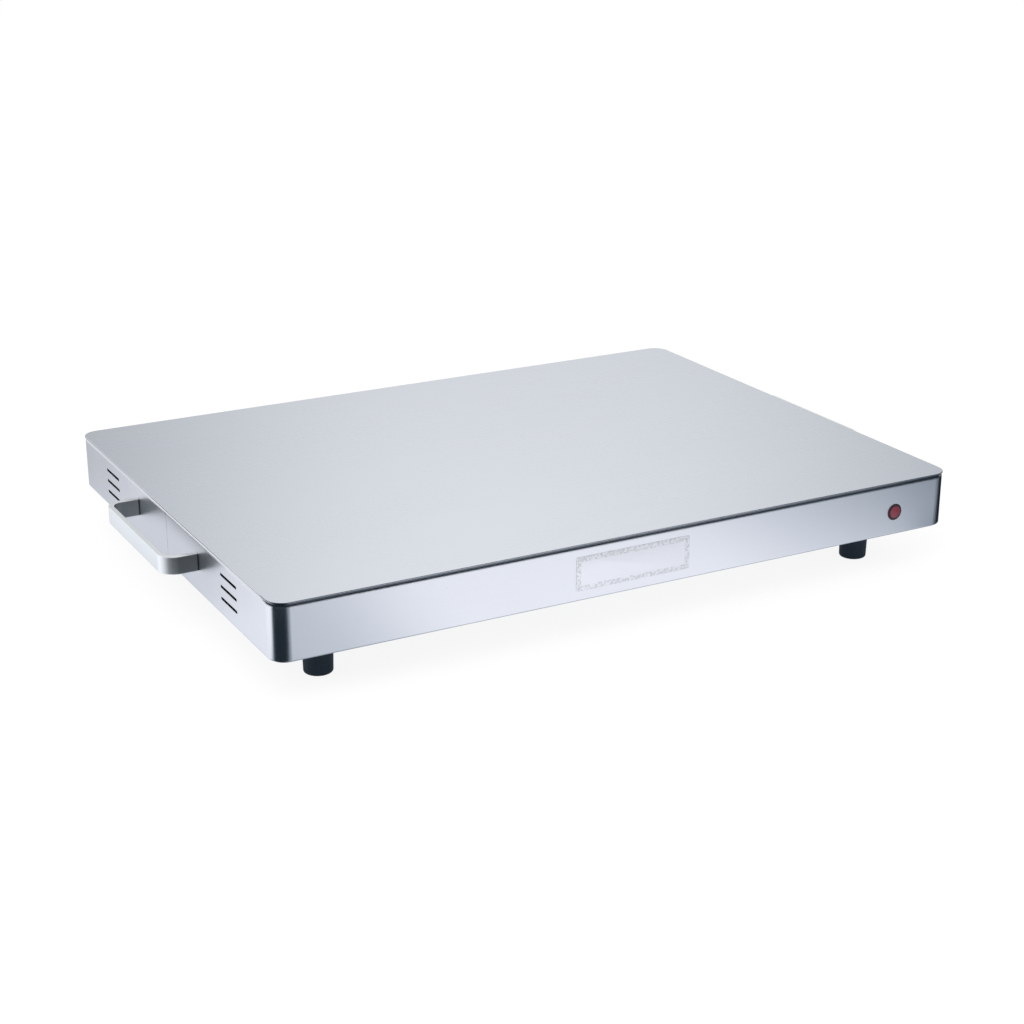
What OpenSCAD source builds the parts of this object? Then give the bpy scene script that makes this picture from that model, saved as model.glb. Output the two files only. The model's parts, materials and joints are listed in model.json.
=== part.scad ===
// Electric food warmer tray: a heated stainless plate on a folded skirt, four feet, two D handles.
// The origin is the middle of the footprint on the table. +X is right, -Y is the front, +Z is up.

/* [Body] */
// Width of the skirt, left to right
body_w = 540; // [500:1:620]
// Depth of the skirt, front to rear
body_d = 400; // [380:1:460]
// Height of the skirt, from its lower edge to the heated plate
skirt_h = 40; // [39:0.5:50]
// Outer radius of the skirt's upright corners
corner_r = 12; // [12:0.5:20]
// Thickness of the skirt's sheet
skirt_t = 1; // [0.8:0.1:1.2]
// Outer radius of the bend under the heated plate
top_bend_r = 3; // [2:0.5:4]
// Outer radius of the bend at the lower edge
low_bend_r = 1.5; // [1.4:0.1:2.5]
// Width of the inward flanges, from the outer face
flange_w = 10; // [9:0.5:11]
// Width of the hairline seam between the two skirt halves
seam_gap = 0.3; // [0.2:0.1:0.6]
// Height of the skirt's lower edge above the table
stand_gap = 32.5; // [25:0.5:45]

/* [Heated plate] */
// Thickness of the heated plate
plate_t = 1.2; // [1:0.1:2]
// How far the plate stands out over the skirt
plate_overhang = 0.4; // [0.2:0.1:2]

/* [Side vents] */
// Length of a vent slot
vent_l = 29.5; // [20:0.5:36]
// Height of a vent slot
vent_h = 2.2; // [1.5:0.1:3]
// Distance between the slots, centre to centre
vent_pitch = 8.6; // [7:0.1:10]
// Number of slots in a group
vent_count = 3; // [1:1:3]
// Distance of a group's middle from the middle of the end
vent_y = 122; // [116:1:140]
// Depth of a group's middle below the plate's top face
vent_drop = 20; // [19:0.1:22]

/* [Handles] */
// Thickness of the flat bar
handle_t = 4; // [3.5:0.5:6]
// Height of the flat bar
handle_h = 13; // [11:0.5:16]
// Distance between the two arms, centre to centre
handle_span = 125; // [100:1:130]
// How far the grip stands out from the skirt
handle_reach = 25; // [20:0.2:36]
// Outer radius of the bar's bends
handle_bend_r = 12; // [8:0.5:16]
// Depth of the bar's middle below the plate's top face
handle_drop = 18; // [17:0.1:22]

/* [Feet] */
// Distance of a foot's axis from the skirt's end face
foot_inset_x = 48.5; // [36:0.5:60]
// Distance of a foot's axis from the skirt's long face
foot_inset_y = 46.5; // [36:0.5:60]
// Radius of a foot at its top
foot_top_r = 10.9; // [10:0.1:13]
// Radius of a foot near the table
foot_low_r = 10.1; // [9:0.1:11]
// Radius of the rounding round a foot's lower edge
foot_edge_r = 1.5; // [1:0.1:2]

/* [Indicator lamp] */
// Distance of the lamp from the skirt's right face
lamp_inset = 49.3; // [36:0.1:60]
// Depth of the lamp's middle below the plate's top face
lamp_drop = 23.5; // [20:0.5:26]
// Radius of the lamp's bezel
lamp_bezel_r = 6.4; // [6:0.1:8]

/* [Base pan] */
// Thickness of the base pan's sheet
pan_t = 0.8; // [0.6:0.1:1]
// Distance of the pan's edge from the skirt's outer face
pan_inset = 2.5; // [1.5:0.5:3]
// Height of the pan's raised field above its flat rim
pan_step_h = 3; // [2:0.5:4]
// Number of stiffening beads
bead_count = 5; // [3:2:7]
// Width of a bead
bead_w = 12; // [8:1:16]
// Height of a bead above the field
bead_h = 1.4; // [1:0.1:2]

/* [Heater] */
// Outer diameter of the sheathed element
element_d = 6.6; // [6:0.1:8]
// Number of straight runs, an even number
run_count = 6; // [4:2:6]
// Thickness of the aluminium spreader
spreader_t = 1.5; // [1:0.1:2]
// Distance of the spreader's edge from the skirt's outer face
spreader_margin = 30; // [28:1:36]
// Thickness of the insulation board
board_t = 6; // [4:0.5:7]
// Thickness of the heat shield's sheet
shield_t = 0.8; // [0.6:0.1:1]

/* [Inlet] */
// Distance of the inlet from the middle of the rear face
inlet_x = 150; // [130:1:160]
// Depth of the inlet's middle below the plate's top face
inlet_drop = 23.7; // [23:0.1:25]
// Width of the inlet's flange
inlet_flange_w = 50; // [49:0.5:54]
// Distance between the inlet's two screws
inlet_screw_span = 40; // [38.5:0.5:42]

/* [Hidden] */
$fn = 64;

// How far a cutting solid runs past what it cuts
overrun = 1;
// Clearance round a screw in a plain hole
hole_gap = 0.25;
// Clearance between a plain shank and the thread that holds it
thread_gap = 0.05;
// Clearance round a piece that drops into a cut-out
slip_gap = 0.2;

// Heights, from the table up
wall_top_z = stand_gap + skirt_h;
top_z = wall_top_z + plate_t;
vent_z = top_z - vent_drop;
handle_z = top_z - handle_drop;
lamp_z = top_z - lamp_drop;
inlet_z = top_z - inlet_drop;
half_w = body_w / 2;
half_d = body_d / 2;

// Four-millimetre machine screws, nuts and studs
stud_r = 2;
nut_af = 7;
nut_h = 3.2;
nut_flange_r = 4.6;
nut_flange_t = 0.8;
pan_head_r = 3.8;
pan_head_h = 2.4;
tip_l = 1.2;
flat_count = 6;

// Seam straps, and the tenons that clamp them
strap_margin = 12.5;
strap_w = handle_span + 2 * strap_margin;
strap_h = 26;
strap_gap = 1.5;
strap_z = wall_top_z - top_bend_r - strap_gap - strap_h / 2;
strap_t = 1.2;
strap_r = 3;
tenon_h = 7;
peen_lip = 1;
peen_t = 1.2;
tenon_gap = 0.15;

// Base pan
pan_rim_w = 15;
pan_z = stand_gap - pan_t;
field_low_z = pan_z + pan_step_h;
field_z = field_low_z + pan_t;
pan_w = body_w - 2 * pan_inset;
pan_d = body_d - 2 * pan_inset;
field_w = pan_w - 2 * pan_rim_w;
field_d = pan_d - 2 * pan_rim_w;
field_r = 14;
bead_l_share = 0.52;
bead_x_share = -0.13;
bead_span_share = 0.56;
air_slot_l = 24;
air_slot_h = 3;
air_slot_pitch = 12;
air_slot_count = 7;
air_slot_inset = 39;

// Self-tapping screws through the pan's rim into the lower flange
base_screw_r = 1.7;
base_screw_head_r = 3.4;
base_screw_head_h = 1;
base_screw_grip = 4;
base_screw_inset = 7;
base_screw_share = 0.34;
base_screw_end_share = 0.24;

// Feet
foot_h = field_low_z;
foot_recess_r = 5;
foot_web = 10;
insert_t = 1.2;

// Heater pack, hung under the plate
spreader_r = 12;
spreader_z = wall_top_z - spreader_t;
spreader_w = body_w - 2 * spreader_margin;
spreader_d = body_d - 2 * spreader_margin;
element_margin = 40;
bend_margin = 24;
run_pitch = (spreader_d - 2 * element_margin) / (run_count - 1);
run_half = spreader_w / 2 - bend_margin - run_pitch / 2 - element_d / 2;
element_z = spreader_z - element_d / 2;
clamp_t = 1.2;
clamp_w = 14;
clamp_gap = 0.1;
clamp_lip = 8;
clamp_share = 0.91;
clamp_pitch = run_half * clamp_share;
clamp_low_z = element_z - element_d / 2 - clamp_gap - clamp_t;
board_gap = 0.3;
board_z = clamp_low_z - board_gap - board_t;
board_margin = 5;
board_w = spreader_w - 2 * board_margin;
board_d = spreader_d - 2 * board_margin;
board_r = 8;
shield_fit = 1;
shield_w = board_w + 2 * (shield_fit + shield_t);
shield_d = board_d + 2 * (shield_fit + shield_t);
shield_low_z = board_z - shield_t;
shield_rim_gap = 1;
stud_grip = 6;
stud_l = spreader_t + clamp_t + stud_grip;
standoff_l = spreader_z - clamp_t - board_z;
shield_screw_grip = 5;
shield_screw_l = shield_t + shield_screw_grip;
relief_gap = 0.5;

// Ends of the element
element_tail = 6;
element_end_x = shield_w / 2 + element_tail;
bush_r = 2.5;
bush_l = 6;
bush_seat = 4;
pin_r = 1.1;
pin_out = 9;
pin_in = 16;
notch_gap = 0.6;

// Thermostat, in the gap between the middle runs
thermostat_x = clamp_pitch / 2;
cup_r = 7.8;
cup_h = 4;
thermostat_flange_r = 10;
thermostat_flange_t = 1;
thermostat_body_r = 8.5;
thermostat_body_h = 8;
tab_w = 6.3;
tab_t = 0.8;
tab_l = 8;
tab_spread = 5.5;
bracket_l = 47;
bracket_w = 18;
bracket_t = 0.8;
bracket_r = 4;
bracket_hole = 18;
bracket_z = spreader_z - cup_h - thermostat_flange_t - bracket_t;
bracket_stud_l = wall_top_z - bracket_z + nut_h + tip_l;
window_gap = 2.5;
window_w = bracket_l + 2 * window_gap;
window_d = bracket_w + 2 * window_gap;

// Where the terminal block stands, from the inlet and from the skirt's rear face
block_shift = 15;
block_inset = 75;
block_x = inlet_x + block_shift;
block_y = half_d - block_inset;

// Thermal cut-off, clipped under the shield
cutoff_shift = 38;
cutoff_inset = 65;
cutoff_x = block_x - cutoff_shift;
cutoff_y = block_y - cutoff_inset;
cutoff_r = 2;
cutoff_l = 11;
cutoff_lead_r = 0.6;
cutoff_lead_l = 6;
cutoff_z = shield_low_z - cutoff_r;
clip_t = 0.6;
clip_w = 6;
clip_ear = 9;
rivet_r = 1.2;
rivet_head_r = 2.2;
rivet_head_h = 0.8;

// Terminal block, on the base pan
pole_pitch = 15;
pole_w = 9.4;
block_d = 22;
block_h = 14.6;
slab_h = 6;
pole_rise = 8.6;
pole_z = field_z + pole_rise;
block_w = 2 * pole_pitch + pole_w;
pole_r = 3.4;
pole_bore_r = 2.6;
pole_l = 20;
clamp_screw_r = 1.5;
clamp_screw_y = 6;
clamp_screw_rise = 1.3;
clamp_screw_l = 4;
block_screw_r = 1.5;
block_screw_head_r = 2.6;
block_screw_head_h = 1.8;

// Earth point, on the base pan
earth_shift = 32;
earth_inset = 50;
earth_x = inlet_x - earth_shift;
earth_y = half_d - earth_inset;
earth_stud_h = 8;
ring_r = 4;
ring_t = 0.8;
tongue_l = 8;
tongue_w = 3.2;
barrel_r = 1.6;
barrel_l = 5;
barrel_z = field_z + barrel_r;

// Indicator lamp
lamp_x = half_w - lamp_inset;
bezel_t = 1.2;
bezel_lip = 1.9;
lens_t = 0.8;
lens_rise = 0.4;
dome_sides = 240;
lens_plug_r = 3.7;
lens_plug_l = 3;
lamp_barrel_r = 4.9;
lamp_bore_r = 3.8;
lamp_l = 22;
lamp_back_t = 2;
lamp_nut_h = 2.5;
lamp_nut_rim = 2.2;
bulb_r = 3;
bulb_l = 12;
lamp_pin_x = 2;
lamp_pin_r = 0.5;
lamp_pin_out = 3;

// Appliance inlet
inlet_flange_h = 24;
inlet_flange_t = 2.5;
inlet_flange_r = 4;
inlet_body_w = 27;
inlet_body_h = 19.8;
inlet_chamfer = 5;
inlet_wall = 1.5;
inlet_depth = 21;
socket_depth = 16;
inlet_pin_w = 2;
inlet_pin_h = 4;
inlet_pin_x = 7;
inlet_pin_z = 2;
inlet_pin_set = 3;
inlet_screw_r = 1.5;
inlet_head_r = 2.8;
inlet_head_h = 1.8;
inlet_nut_af = 5.5;
inlet_nut_h = 2.4;
inlet_back_y = half_d - inlet_depth;
inlet_tab_y = inlet_back_y - tab_l;

// Where the plate studs stand: one in every other gap between runs, under three clamps
gap_rows = [for (i = [0:2:run_count - 2]) (i - (run_count - 2) / 2) * run_pitch];
clamp_columns = [-clamp_pitch, 0, clamp_pitch];
stud_places = [for (x = clamp_columns, y = gap_rows) [x, y]];
bracket_places = [for (side = [-1, 1]) [thermostat_x + side * bracket_hole, 0]];
run_rows = [for (i = [0:run_count - 1]) (i - (run_count - 1) / 2) * run_pitch];
foot_x = half_w - foot_inset_x;
foot_y = half_d - foot_inset_y;
foot_places = [for (y = [-1, 1], x = [-1, 1]) [x * foot_x, y * foot_y]];
long_row_y = half_d - base_screw_inset;
end_row_x = half_w - base_screw_inset;
base_screw_places = concat(
  [for (y = [-1, 1], x = [-1, 0, 1]) [x * body_w * base_screw_share, y * long_row_y]],
  [for (x = [-1, 1], y = [-1, 1]) [x * end_row_x, y * body_d * base_screw_end_share]]
);

// Insulated wires: radius, sides of the tube and steps between two route points
wire_r = 1.1;
wire_sides = 8;
wire_steps = 3;
steep_share = 0.9;
pole_shift = 1.3;
pole_reach = 8;

// Steps of each lead's route: those from its first end, then those from its last end
live_steps = [
  [[0, -5, 0], [-1, -11, -1]],
  [[0, 14, 0], [0, 7, 0]]
];
neutral_steps = [
  [[0, -5, 0], [4, -11, -1]],
  [[0, 14, 0], [0, 7, 0]]
];
earth_steps = [
  [[0, -4, 0], [-3, -10, 1]],
  [[12, 2, 13], [9, 0, 5], [4, 0, 0]]
];
feed_steps = [
  [[0, -7, 0], [0, -14, 0], [-7, -25, 3]],
  [[2, 12, 0], [0, 5, 0]]
];
link_steps = [
  [[0, -5, 0], [-3, -14, -2], [-14, -30, -6]],
  [[5, 5, -8], [0, 0, -4]]
];
thermostat_steps = [
  [[0, 0, -4], [8, -6, -9], [50, 10, -9.5]],
  [[-8, -60, -4], [0, -23, -2], [0, -14, 0], [0, -7, 0]]
];
element_live_steps = [
  [[4, 0, 0], [8, 2, -7], [7, 12, -20], [3, 40, -23], [1, 130, -23], [-2, 215, -23]],
  [[86, 13, 3], [40, 23, 6], [14, 24, 6], [1, 15, 0], [0, 7, 0]]
];
element_neutral_steps = [
  [[4, 0, 0], [8, -2, -7], [6, -12, -17], [-6, -26, -18]],
  [[36, -26, 5], [14, -24, 4], [2, -18, 1], [0, -13, 0], [0, -6, 0]]
];
lamp_right_steps = [
  [[0, 5, 0], [6, 15, -3], [10, 36, -6], [12, 116, -8], [9, 196, -8]],
  [[24, -30, -4], [6, -25, -4], [0, -15, -1], [0, -7, 0]]
];
lamp_left_steps = [
  [[0, 5, 0], [-7, 15, -3], [-12, 36, -6], [-16, 116, -8], [-20, 196, -7]],
  [[2, -27, 2], [0, -14, 0], [0, -7, 0]]
];

// Flat and solid shapes that repeat

module rounded_rect(w, d, r) {
  square([w - 2 * r, d], center = true);
  square([w, d - 2 * r], center = true);
  for (x = [-1, 1], y = [-1, 1]) translate([x * (w / 2 - r), y * (d / 2 - r)]) circle(r);
}

module rounded_slab(w, d, r, z0, z1) {
  translate([0, 0, z0]) linear_extrude(z1 - z0) rounded_rect(w, d, r);
}

// A rectangle from x = 0 to l and y = 0 to h whose two corners at x = 0 are rounded
module rounded_end(l, h, r_low, r_high) {
  translate([0, r_low]) square([l, h - r_low - r_high]);
  translate([r_low, 0]) square([l - r_low, r_low]);
  translate([r_high, h - r_high]) square([l - r_high, r_high]);
  translate([r_low, r_low]) circle(r_low);
  translate([r_high, h - r_high]) circle(r_high);
}

// Turns a flat shape to stand on the YZ plane and gives it depth along +X
module along_x(l) {
  rotate([90, 0, 90]) linear_extrude(l) children();
}

// Turns a flat shape to stand on the XZ plane and gives it depth along +Y
module along_y(l) {
  translate([0, l, 0]) rotate([90, 0, 0]) linear_extrude(l) children();
}

module drill(r, z0, z1) {
  translate([0, 0, z0]) cylinder(r = r, h = z1 - z0);
}

module tube_y(r, y0, y1) {
  translate([0, y1, 0]) rotate([90, 0, 0]) cylinder(r = r, h = y1 - y0);
}

module tube_x(r, x0, x1) {
  translate([x0, 0, 0]) rotate([0, 90, 0]) cylinder(r = r, h = x1 - x0);
}

module hex_nut(af, h, bore_r) {
  difference() {
    cylinder(r = af / 2 / cos(180 / flat_count), h = h, $fn = flat_count);
    drill(bore_r, -overrun, h + overrun);
  }
}

// A flanged nut that stands on its flange
module flange_nut() {
  difference() {
    union() {
      drill(nut_flange_r, 0, nut_flange_t);
      cylinder(r = nut_af / 2 / cos(180 / flat_count), h = nut_h, $fn = flat_count);
    }
    drill(stud_r + thread_gap, -overrun, nut_h + overrun);
  }
}

// A screw that points up: the head hangs below z = 0
module screw_up(r, l, head_r, head_h) {
  drill(r, 0, l);
  drill(head_r, -head_h, 0);
}

// A round-ended slot along Y that runs through along X
module end_slot(l, h, depth) {
  cube([depth, l - h, h], center = true);
  for (y = [-1, 1]) translate([0, y * (l - h) / 2, 0]) tube_x(h / 2, -depth / 2, depth / 2);
}

// Swept wires

function unit(v) = v / norm(v);

function spline_point(p, i, u) =
  let (
    a = p[max(i - 1, 0)],
    b = p[i],
    c = p[i + 1],
    d = p[min(i + 2, len(p) - 1)]
  )
  (2 * b + (c - a) * u + (2 * a - 5 * b + 4 * c - d) * u * u + (3 * b - 3 * c + d - a) * u * u * u) / 2;

function smooth(p) = concat(
  [for (i = [0:len(p) - 2], s = [0:wire_steps - 1]) spline_point(p, i, s / wire_steps)],
  [p[len(p) - 1]]
);

function heading(p, i, ends) =
  i == 0 ? ends[0] : i == len(p) - 1 ? ends[1] : unit(p[i + 1] - p[i - 1]);

function level(side, t) = unit(side - (side * t) * t);

function carried_sides(headings, i, side) =
  i == len(headings) ? [] : let (n = level(side, headings[i])) concat([n], carried_sides(headings, i + 1, n));

function first_side(t) = abs(t[2]) < steep_share ? [0, 0, 1] : [1, 0, 0];

module wire(route) {
  path = smooth(route);
  n = wire_sides;
  rings = len(path);
  last = len(route) - 1;
  ends = [unit(route[1] - route[0]), unit(route[last] - route[last - 1])];
  headings = [for (i = [0:rings - 1]) heading(path, i, ends)];
  sides = carried_sides(headings, 0, first_side(headings[0]));
  points = [
    for (i = [0:rings - 1], k = [0:n - 1])
      let (a = 360 * k / n)
      path[i] + wire_r * (cos(a) * sides[i] + sin(a) * cross(headings[i], sides[i]))
  ];
  walls = [
    for (i = [0:rings - 2], k = [0:n - 1])
      [i * n + k, (i + 1) * n + k, (i + 1) * n + (k + 1) % n, i * n + (k + 1) % n]
  ];
  first_cap = [for (k = [0:n - 1]) k];
  last_cap = [for (k = [n - 1:-1:0]) (rings - 1) * n + k];
  polyhedron(points, concat([first_cap, last_cap], walls));
}

// A route from one end point to another, with steps away from each end
function route(start, steps, end) =
  concat([start], [for (s = steps[0]) start + s], [for (s = steps[1]) end + s], [end]);

// Heated plate and skirt

module top_plate() {
  w = body_w + 2 * plate_overhang;
  d = body_d + 2 * plate_overhang;
  color("gainsboro") rounded_slab(w, d, corner_r + plate_overhang, wall_top_z, top_z);
}

module plate_studs() {
  color("silver") {
    for (p = stud_places) translate(p) drill(stud_r, wall_top_z - stud_l, wall_top_z);
    for (p = bracket_places) translate(p) drill(stud_r, wall_top_z - bracket_stud_l, wall_top_z);
  }
}

// The skirt's section: outer face at x = 0, lower edge at y = 0, flanges inward
module skirt_section() {
  difference() {
    rounded_end(flange_w, skirt_h, low_bend_r, top_bend_r);
    translate([skirt_t, skirt_t])
      rounded_end(flange_w, skirt_h - 2 * skirt_t, low_bend_r - skirt_t, top_bend_r - skirt_t);
  }
}

module skirt_corner() {
  rotate_extrude(angle = 90) translate([corner_r, 0]) mirror([1, 0]) skirt_section();
}

module half_skirt() {
  side_l = half_d - corner_r - seam_gap / 2;
  translate([0, 0, stand_gap]) {
    translate([-half_w + corner_r, -half_d, 0]) along_x(body_w - 2 * corner_r) skirt_section();
    translate([-half_w + corner_r, -half_d + corner_r, 0]) rotate(180) skirt_corner();
    translate([half_w - corner_r, -half_d + corner_r, 0]) rotate(270) skirt_corner();
    translate([-half_w, -seam_gap / 2, 0]) rotate(-90) along_x(side_l) skirt_section();
    translate([half_w, -half_d + corner_r, 0]) rotate(90) along_x(side_l) skirt_section();
  }
}

module end_cuts() {
  depth = body_w + 2 * overrun;
  for (i = [0:vent_count - 1])
    translate([0, -vent_y, vent_z + (i - (vent_count - 1) / 2) * vent_pitch])
      end_slot(vent_l, vent_h, depth);
  translate([0, -handle_span / 2, handle_z])
    cube([depth, handle_t + 2 * tenon_gap, tenon_h + 2 * tenon_gap], center = true);
}

module base_screw_holes() {
  for (p = base_screw_places)
    translate(p) drill(base_screw_r + thread_gap, stand_gap - overrun, stand_gap + skirt_t + overrun);
}

module front_skirt() {
  color("lightsteelblue") difference() {
    half_skirt();
    end_cuts();
    base_screw_holes();
    translate([lamp_x, -half_d, lamp_z])
      tube_y(lamp_barrel_r + hole_gap, -overrun, skirt_t + overrun);
  }
}

module inlet_cut() {
  translate([inlet_x, half_d - skirt_t - overrun, inlet_z]) {
    along_y(skirt_t + 2 * overrun)
      inlet_outline(inlet_body_w + 2 * slip_gap, inlet_body_h + 2 * slip_gap, inlet_chamfer);
    for (x = [-1, 1]) translate([x * inlet_screw_span / 2, 0, 0])
      tube_y(inlet_screw_r + hole_gap, 0, skirt_t + 2 * overrun);
  }
}

module rear_skirt() {
  color("lightsteelblue") difference() {
    mirror([0, 1, 0]) half_skirt();
    mirror([0, 1, 0]) end_cuts();
    base_screw_holes();
    inlet_cut();
  }
}

module seam_strap() {
  hole = [2 * (strap_t + overrun), handle_t + 2 * tenon_gap, tenon_h + 2 * tenon_gap];
  translate([-half_w + skirt_t, 0, 0]) difference() {
    translate([0, 0, strap_z]) along_x(strap_t) rounded_rect(strap_w, strap_h, strap_r);
    for (y = [-1, 1]) translate([0, y * handle_span / 2, handle_z]) cube(hole, center = true);
  }
}

module left_seam_strap() {
  color("silver") seam_strap();
}

module right_seam_strap() {
  color("silver") mirror([1, 0, 0]) seam_strap();
}

// Handles

module handle() {
  outer_w = handle_span + handle_t;
  inner_r = handle_bend_r - handle_t;
  tenon_l = skirt_t + strap_t;
  tenon = [handle_t + tenon_l + peen_t, handle_t, tenon_h];
  head = [peen_t, handle_t + 2 * peen_lip, tenon_h + 2 * peen_lip];
  translate([-half_w - handle_reach, -outer_w / 2, handle_z - handle_h / 2])
    linear_extrude(handle_h) difference() {
      rounded_end(handle_reach, outer_w, handle_bend_r, handle_bend_r);
      translate([handle_t, handle_t])
        rounded_end(handle_reach, outer_w - 2 * handle_t, inner_r, inner_r);
    }
  for (y = [-1, 1]) translate([-half_w, y * handle_span / 2, handle_z]) {
    translate([-handle_t, -tenon[1] / 2, -tenon[2] / 2]) cube(tenon);
    translate([tenon_l, -head[1] / 2, -head[2] / 2]) cube(head);
  }
}

module left_handle() {
  color("whitesmoke") handle();
}

module right_handle() {
  color("whitesmoke") mirror([1, 0, 0]) handle();
}

// Base pan and feet

module bead_blocks(w, z0, z1) {
  l = field_w * bead_l_share;
  pitch = field_d * bead_span_share / (bead_count - 1);
  for (i = [0:bead_count - 1])
    translate([field_w * bead_x_share, (i - (bead_count - 1) / 2) * pitch, 0])
      rounded_slab(l - bead_w + w, w, w / 2 - thread_gap, z0, z1);
}

module air_slots() {
  end_r = air_slot_h / 2 - thread_gap;
  for (x = [-1, 1], i = [0:air_slot_count - 1])
    translate([x * (half_w - air_slot_inset), (i - (air_slot_count - 1) / 2) * air_slot_pitch, 0])
      rounded_slab(air_slot_l, air_slot_h, end_r, field_low_z - overrun, field_z + overrun);
}

module base_pan() {
  color("darkgray") difference() {
    union() {
      rounded_slab(pan_w, pan_d, corner_r - pan_inset, pan_z, stand_gap);
      rounded_slab(field_w, field_d, field_r, pan_z, field_z);
      bead_blocks(bead_w, pan_z, field_z + bead_h);
    }
    rounded_slab(field_w - 2 * pan_t, field_d - 2 * pan_t, field_r - pan_t, pan_z - overrun, field_low_z);
    bead_blocks(bead_w - 2 * pan_t, pan_z, field_low_z + bead_h);
    air_slots();
    for (p = foot_places) translate(p)
      drill(stud_r + hole_gap, field_low_z - overrun, field_z + overrun);
    for (p = base_screw_places) translate(p)
      drill(base_screw_r + hole_gap, pan_z - overrun, stand_gap + overrun);
    for (x = [-1, 1]) translate([block_x + x * pole_pitch / 2, block_y, 0])
      drill(block_screw_r + thread_gap, field_low_z - overrun, field_z + overrun);
  }
}

module base_screws() {
  color("silver") for (p = base_screw_places) translate([p[0], p[1], pan_z])
    screw_up(base_screw_r, pan_t + skirt_t + base_screw_grip, base_screw_head_r, base_screw_head_h);
}

module foot_profile() {
  difference() {
    union() {
      polygon([
        [0, 0],
        [foot_low_r - foot_edge_r, 0],
        [foot_low_r, foot_edge_r],
        [foot_top_r, foot_h],
        [0, foot_h]
      ]);
      translate([foot_low_r - foot_edge_r, foot_edge_r]) circle(foot_edge_r);
    }
    translate([-overrun, -overrun]) square([overrun + stud_r + hole_gap, foot_h + 2 * overrun]);
    translate([-overrun, -overrun]) square([overrun + foot_recess_r, foot_h - foot_web + overrun]);
  }
}

module foot(i) {
  color("#1b2228") translate(foot_places[i]) rotate_extrude() foot_profile();
}

module front_left_foot() {
  foot(0);
}

module front_right_foot() {
  foot(1);
}

module rear_left_foot() {
  foot(2);
}

module rear_right_foot() {
  foot(3);
}

module foot_inserts() {
  z = foot_h - foot_web - insert_t;
  color("silver") for (p = foot_places) translate(p) difference() {
    drill(foot_recess_r - slip_gap, z, z + insert_t);
    drill(stud_r + hole_gap, z - overrun, z + insert_t + overrun);
  }
}

module foot_screws() {
  z = foot_h - foot_web - insert_t;
  color("silver") for (p = foot_places) translate([p[0], p[1], z])
    screw_up(stud_r, field_z + nut_h + tip_l - z, pan_head_r, pan_head_h);
}

module foot_nuts() {
  color("silver") for (p = foot_places) translate([p[0], p[1], field_z]) flange_nut();
}

// Heater pack

module heat_spreader() {
  color("lightgray") difference() {
    rounded_slab(spreader_w, spreader_d, spreader_r, spreader_z, wall_top_z);
    for (p = concat(stud_places, bracket_places)) translate(p)
      drill(stud_r + hole_gap, spreader_z - overrun, wall_top_z + overrun);
  }
}

module u_bend(side, x, y) {
  translate([x, y, 0]) rotate(-side * 90)
    rotate_extrude(angle = 180) translate([run_pitch / 2, 0]) circle(element_d / 2);
}

// The serpentine: straight runs joined by half-ring bends, with both ends at the right
module element_rod() {
  for (i = [0:run_count - 1]) {
    last = i == 0 || i == run_count - 1;
    translate([0, run_rows[i], 0]) tube_x(element_d / 2, -run_half, last ? element_end_x : run_half);
  }
  for (i = [0:run_count - 2]) {
    side = i % 2 == 0 ? -1 : 1;
    u_bend(side, side * run_half, run_rows[i] + run_pitch / 2);
  }
}

module heating_element() {
  color("dimgray") translate([0, 0, element_z]) difference() {
    element_rod();
    for (y = [-1, 1]) translate([element_end_x, y * run_rows[run_count - 1], 0]) {
      tube_x(bush_r + thread_gap, -bush_seat, overrun);
      tube_x(pin_r + thread_gap, -pin_in, 0);
    }
  }
}

module element_bushes() {
  color("ivory") for (y = [-1, 1])
    translate([element_end_x - bush_seat, y * run_rows[run_count - 1], element_z]) difference() {
      tube_x(bush_r, 0, bush_l);
      tube_x(pin_r + thread_gap, -overrun, bush_l + overrun);
    }
}

module element_pins() {
  color("silver") for (y = [-1, 1])
    translate([element_end_x, y * run_rows[run_count - 1], element_z]) tube_x(pin_r, -pin_in, pin_out);
}

module clamp_section() {
  saddle_r = element_d / 2 + clamp_gap;
  outer_r = saddle_r + clamp_t;
  span = 2 * run_rows[run_count - 1] + 2 * (outer_r + clamp_lip);
  difference() {
    union() {
      translate([-span / 2, -clamp_t]) square([span, clamp_t]);
      for (y = run_rows) translate([y, -element_d / 2]) {
        circle(outer_r);
        translate([-outer_r, 0]) square([2 * outer_r, element_d / 2]);
      }
    }
    for (y = run_rows) translate([y, -element_d / 2]) {
      circle(saddle_r);
      translate([-saddle_r, 0]) square([2 * saddle_r, element_d]);
    }
    translate([-span / 2, 0]) square([span, element_d]);
  }
}

module element_clamps() {
  color("silver") difference() {
    for (x = clamp_columns)
      translate([x - clamp_w / 2, 0, spreader_z]) along_x(clamp_w) clamp_section();
    for (p = stud_places) translate(p)
      drill(stud_r + hole_gap, spreader_z - clamp_t - overrun, spreader_z + overrun);
  }
}

module standoffs() {
  color("silver") for (p = stud_places) translate([p[0], p[1], board_z])
    hex_nut(nut_af, standoff_l, stud_r + thread_gap);
}

module window_cut() {
  translate([thermostat_x, 0, 0])
    rounded_slab(window_w, window_d, bracket_r, shield_low_z - overrun, board_z + board_t + overrun);
}

module insulation_board() {
  hole_r = nut_af / 2 / cos(180 / flat_count) + relief_gap;
  low_z = board_z - overrun;
  high_z = board_z + board_t + overrun;
  color("antiquewhite") difference() {
    rounded_slab(board_w, board_d, board_r, board_z, board_z + board_t);
    for (p = stud_places) translate(p) drill(hole_r, low_z, high_z);
    translate([cutoff_x - clip_ear, cutoff_y, 0]) drill(rivet_head_r + relief_gap, low_z, high_z);
    window_cut();
  }
}

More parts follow.
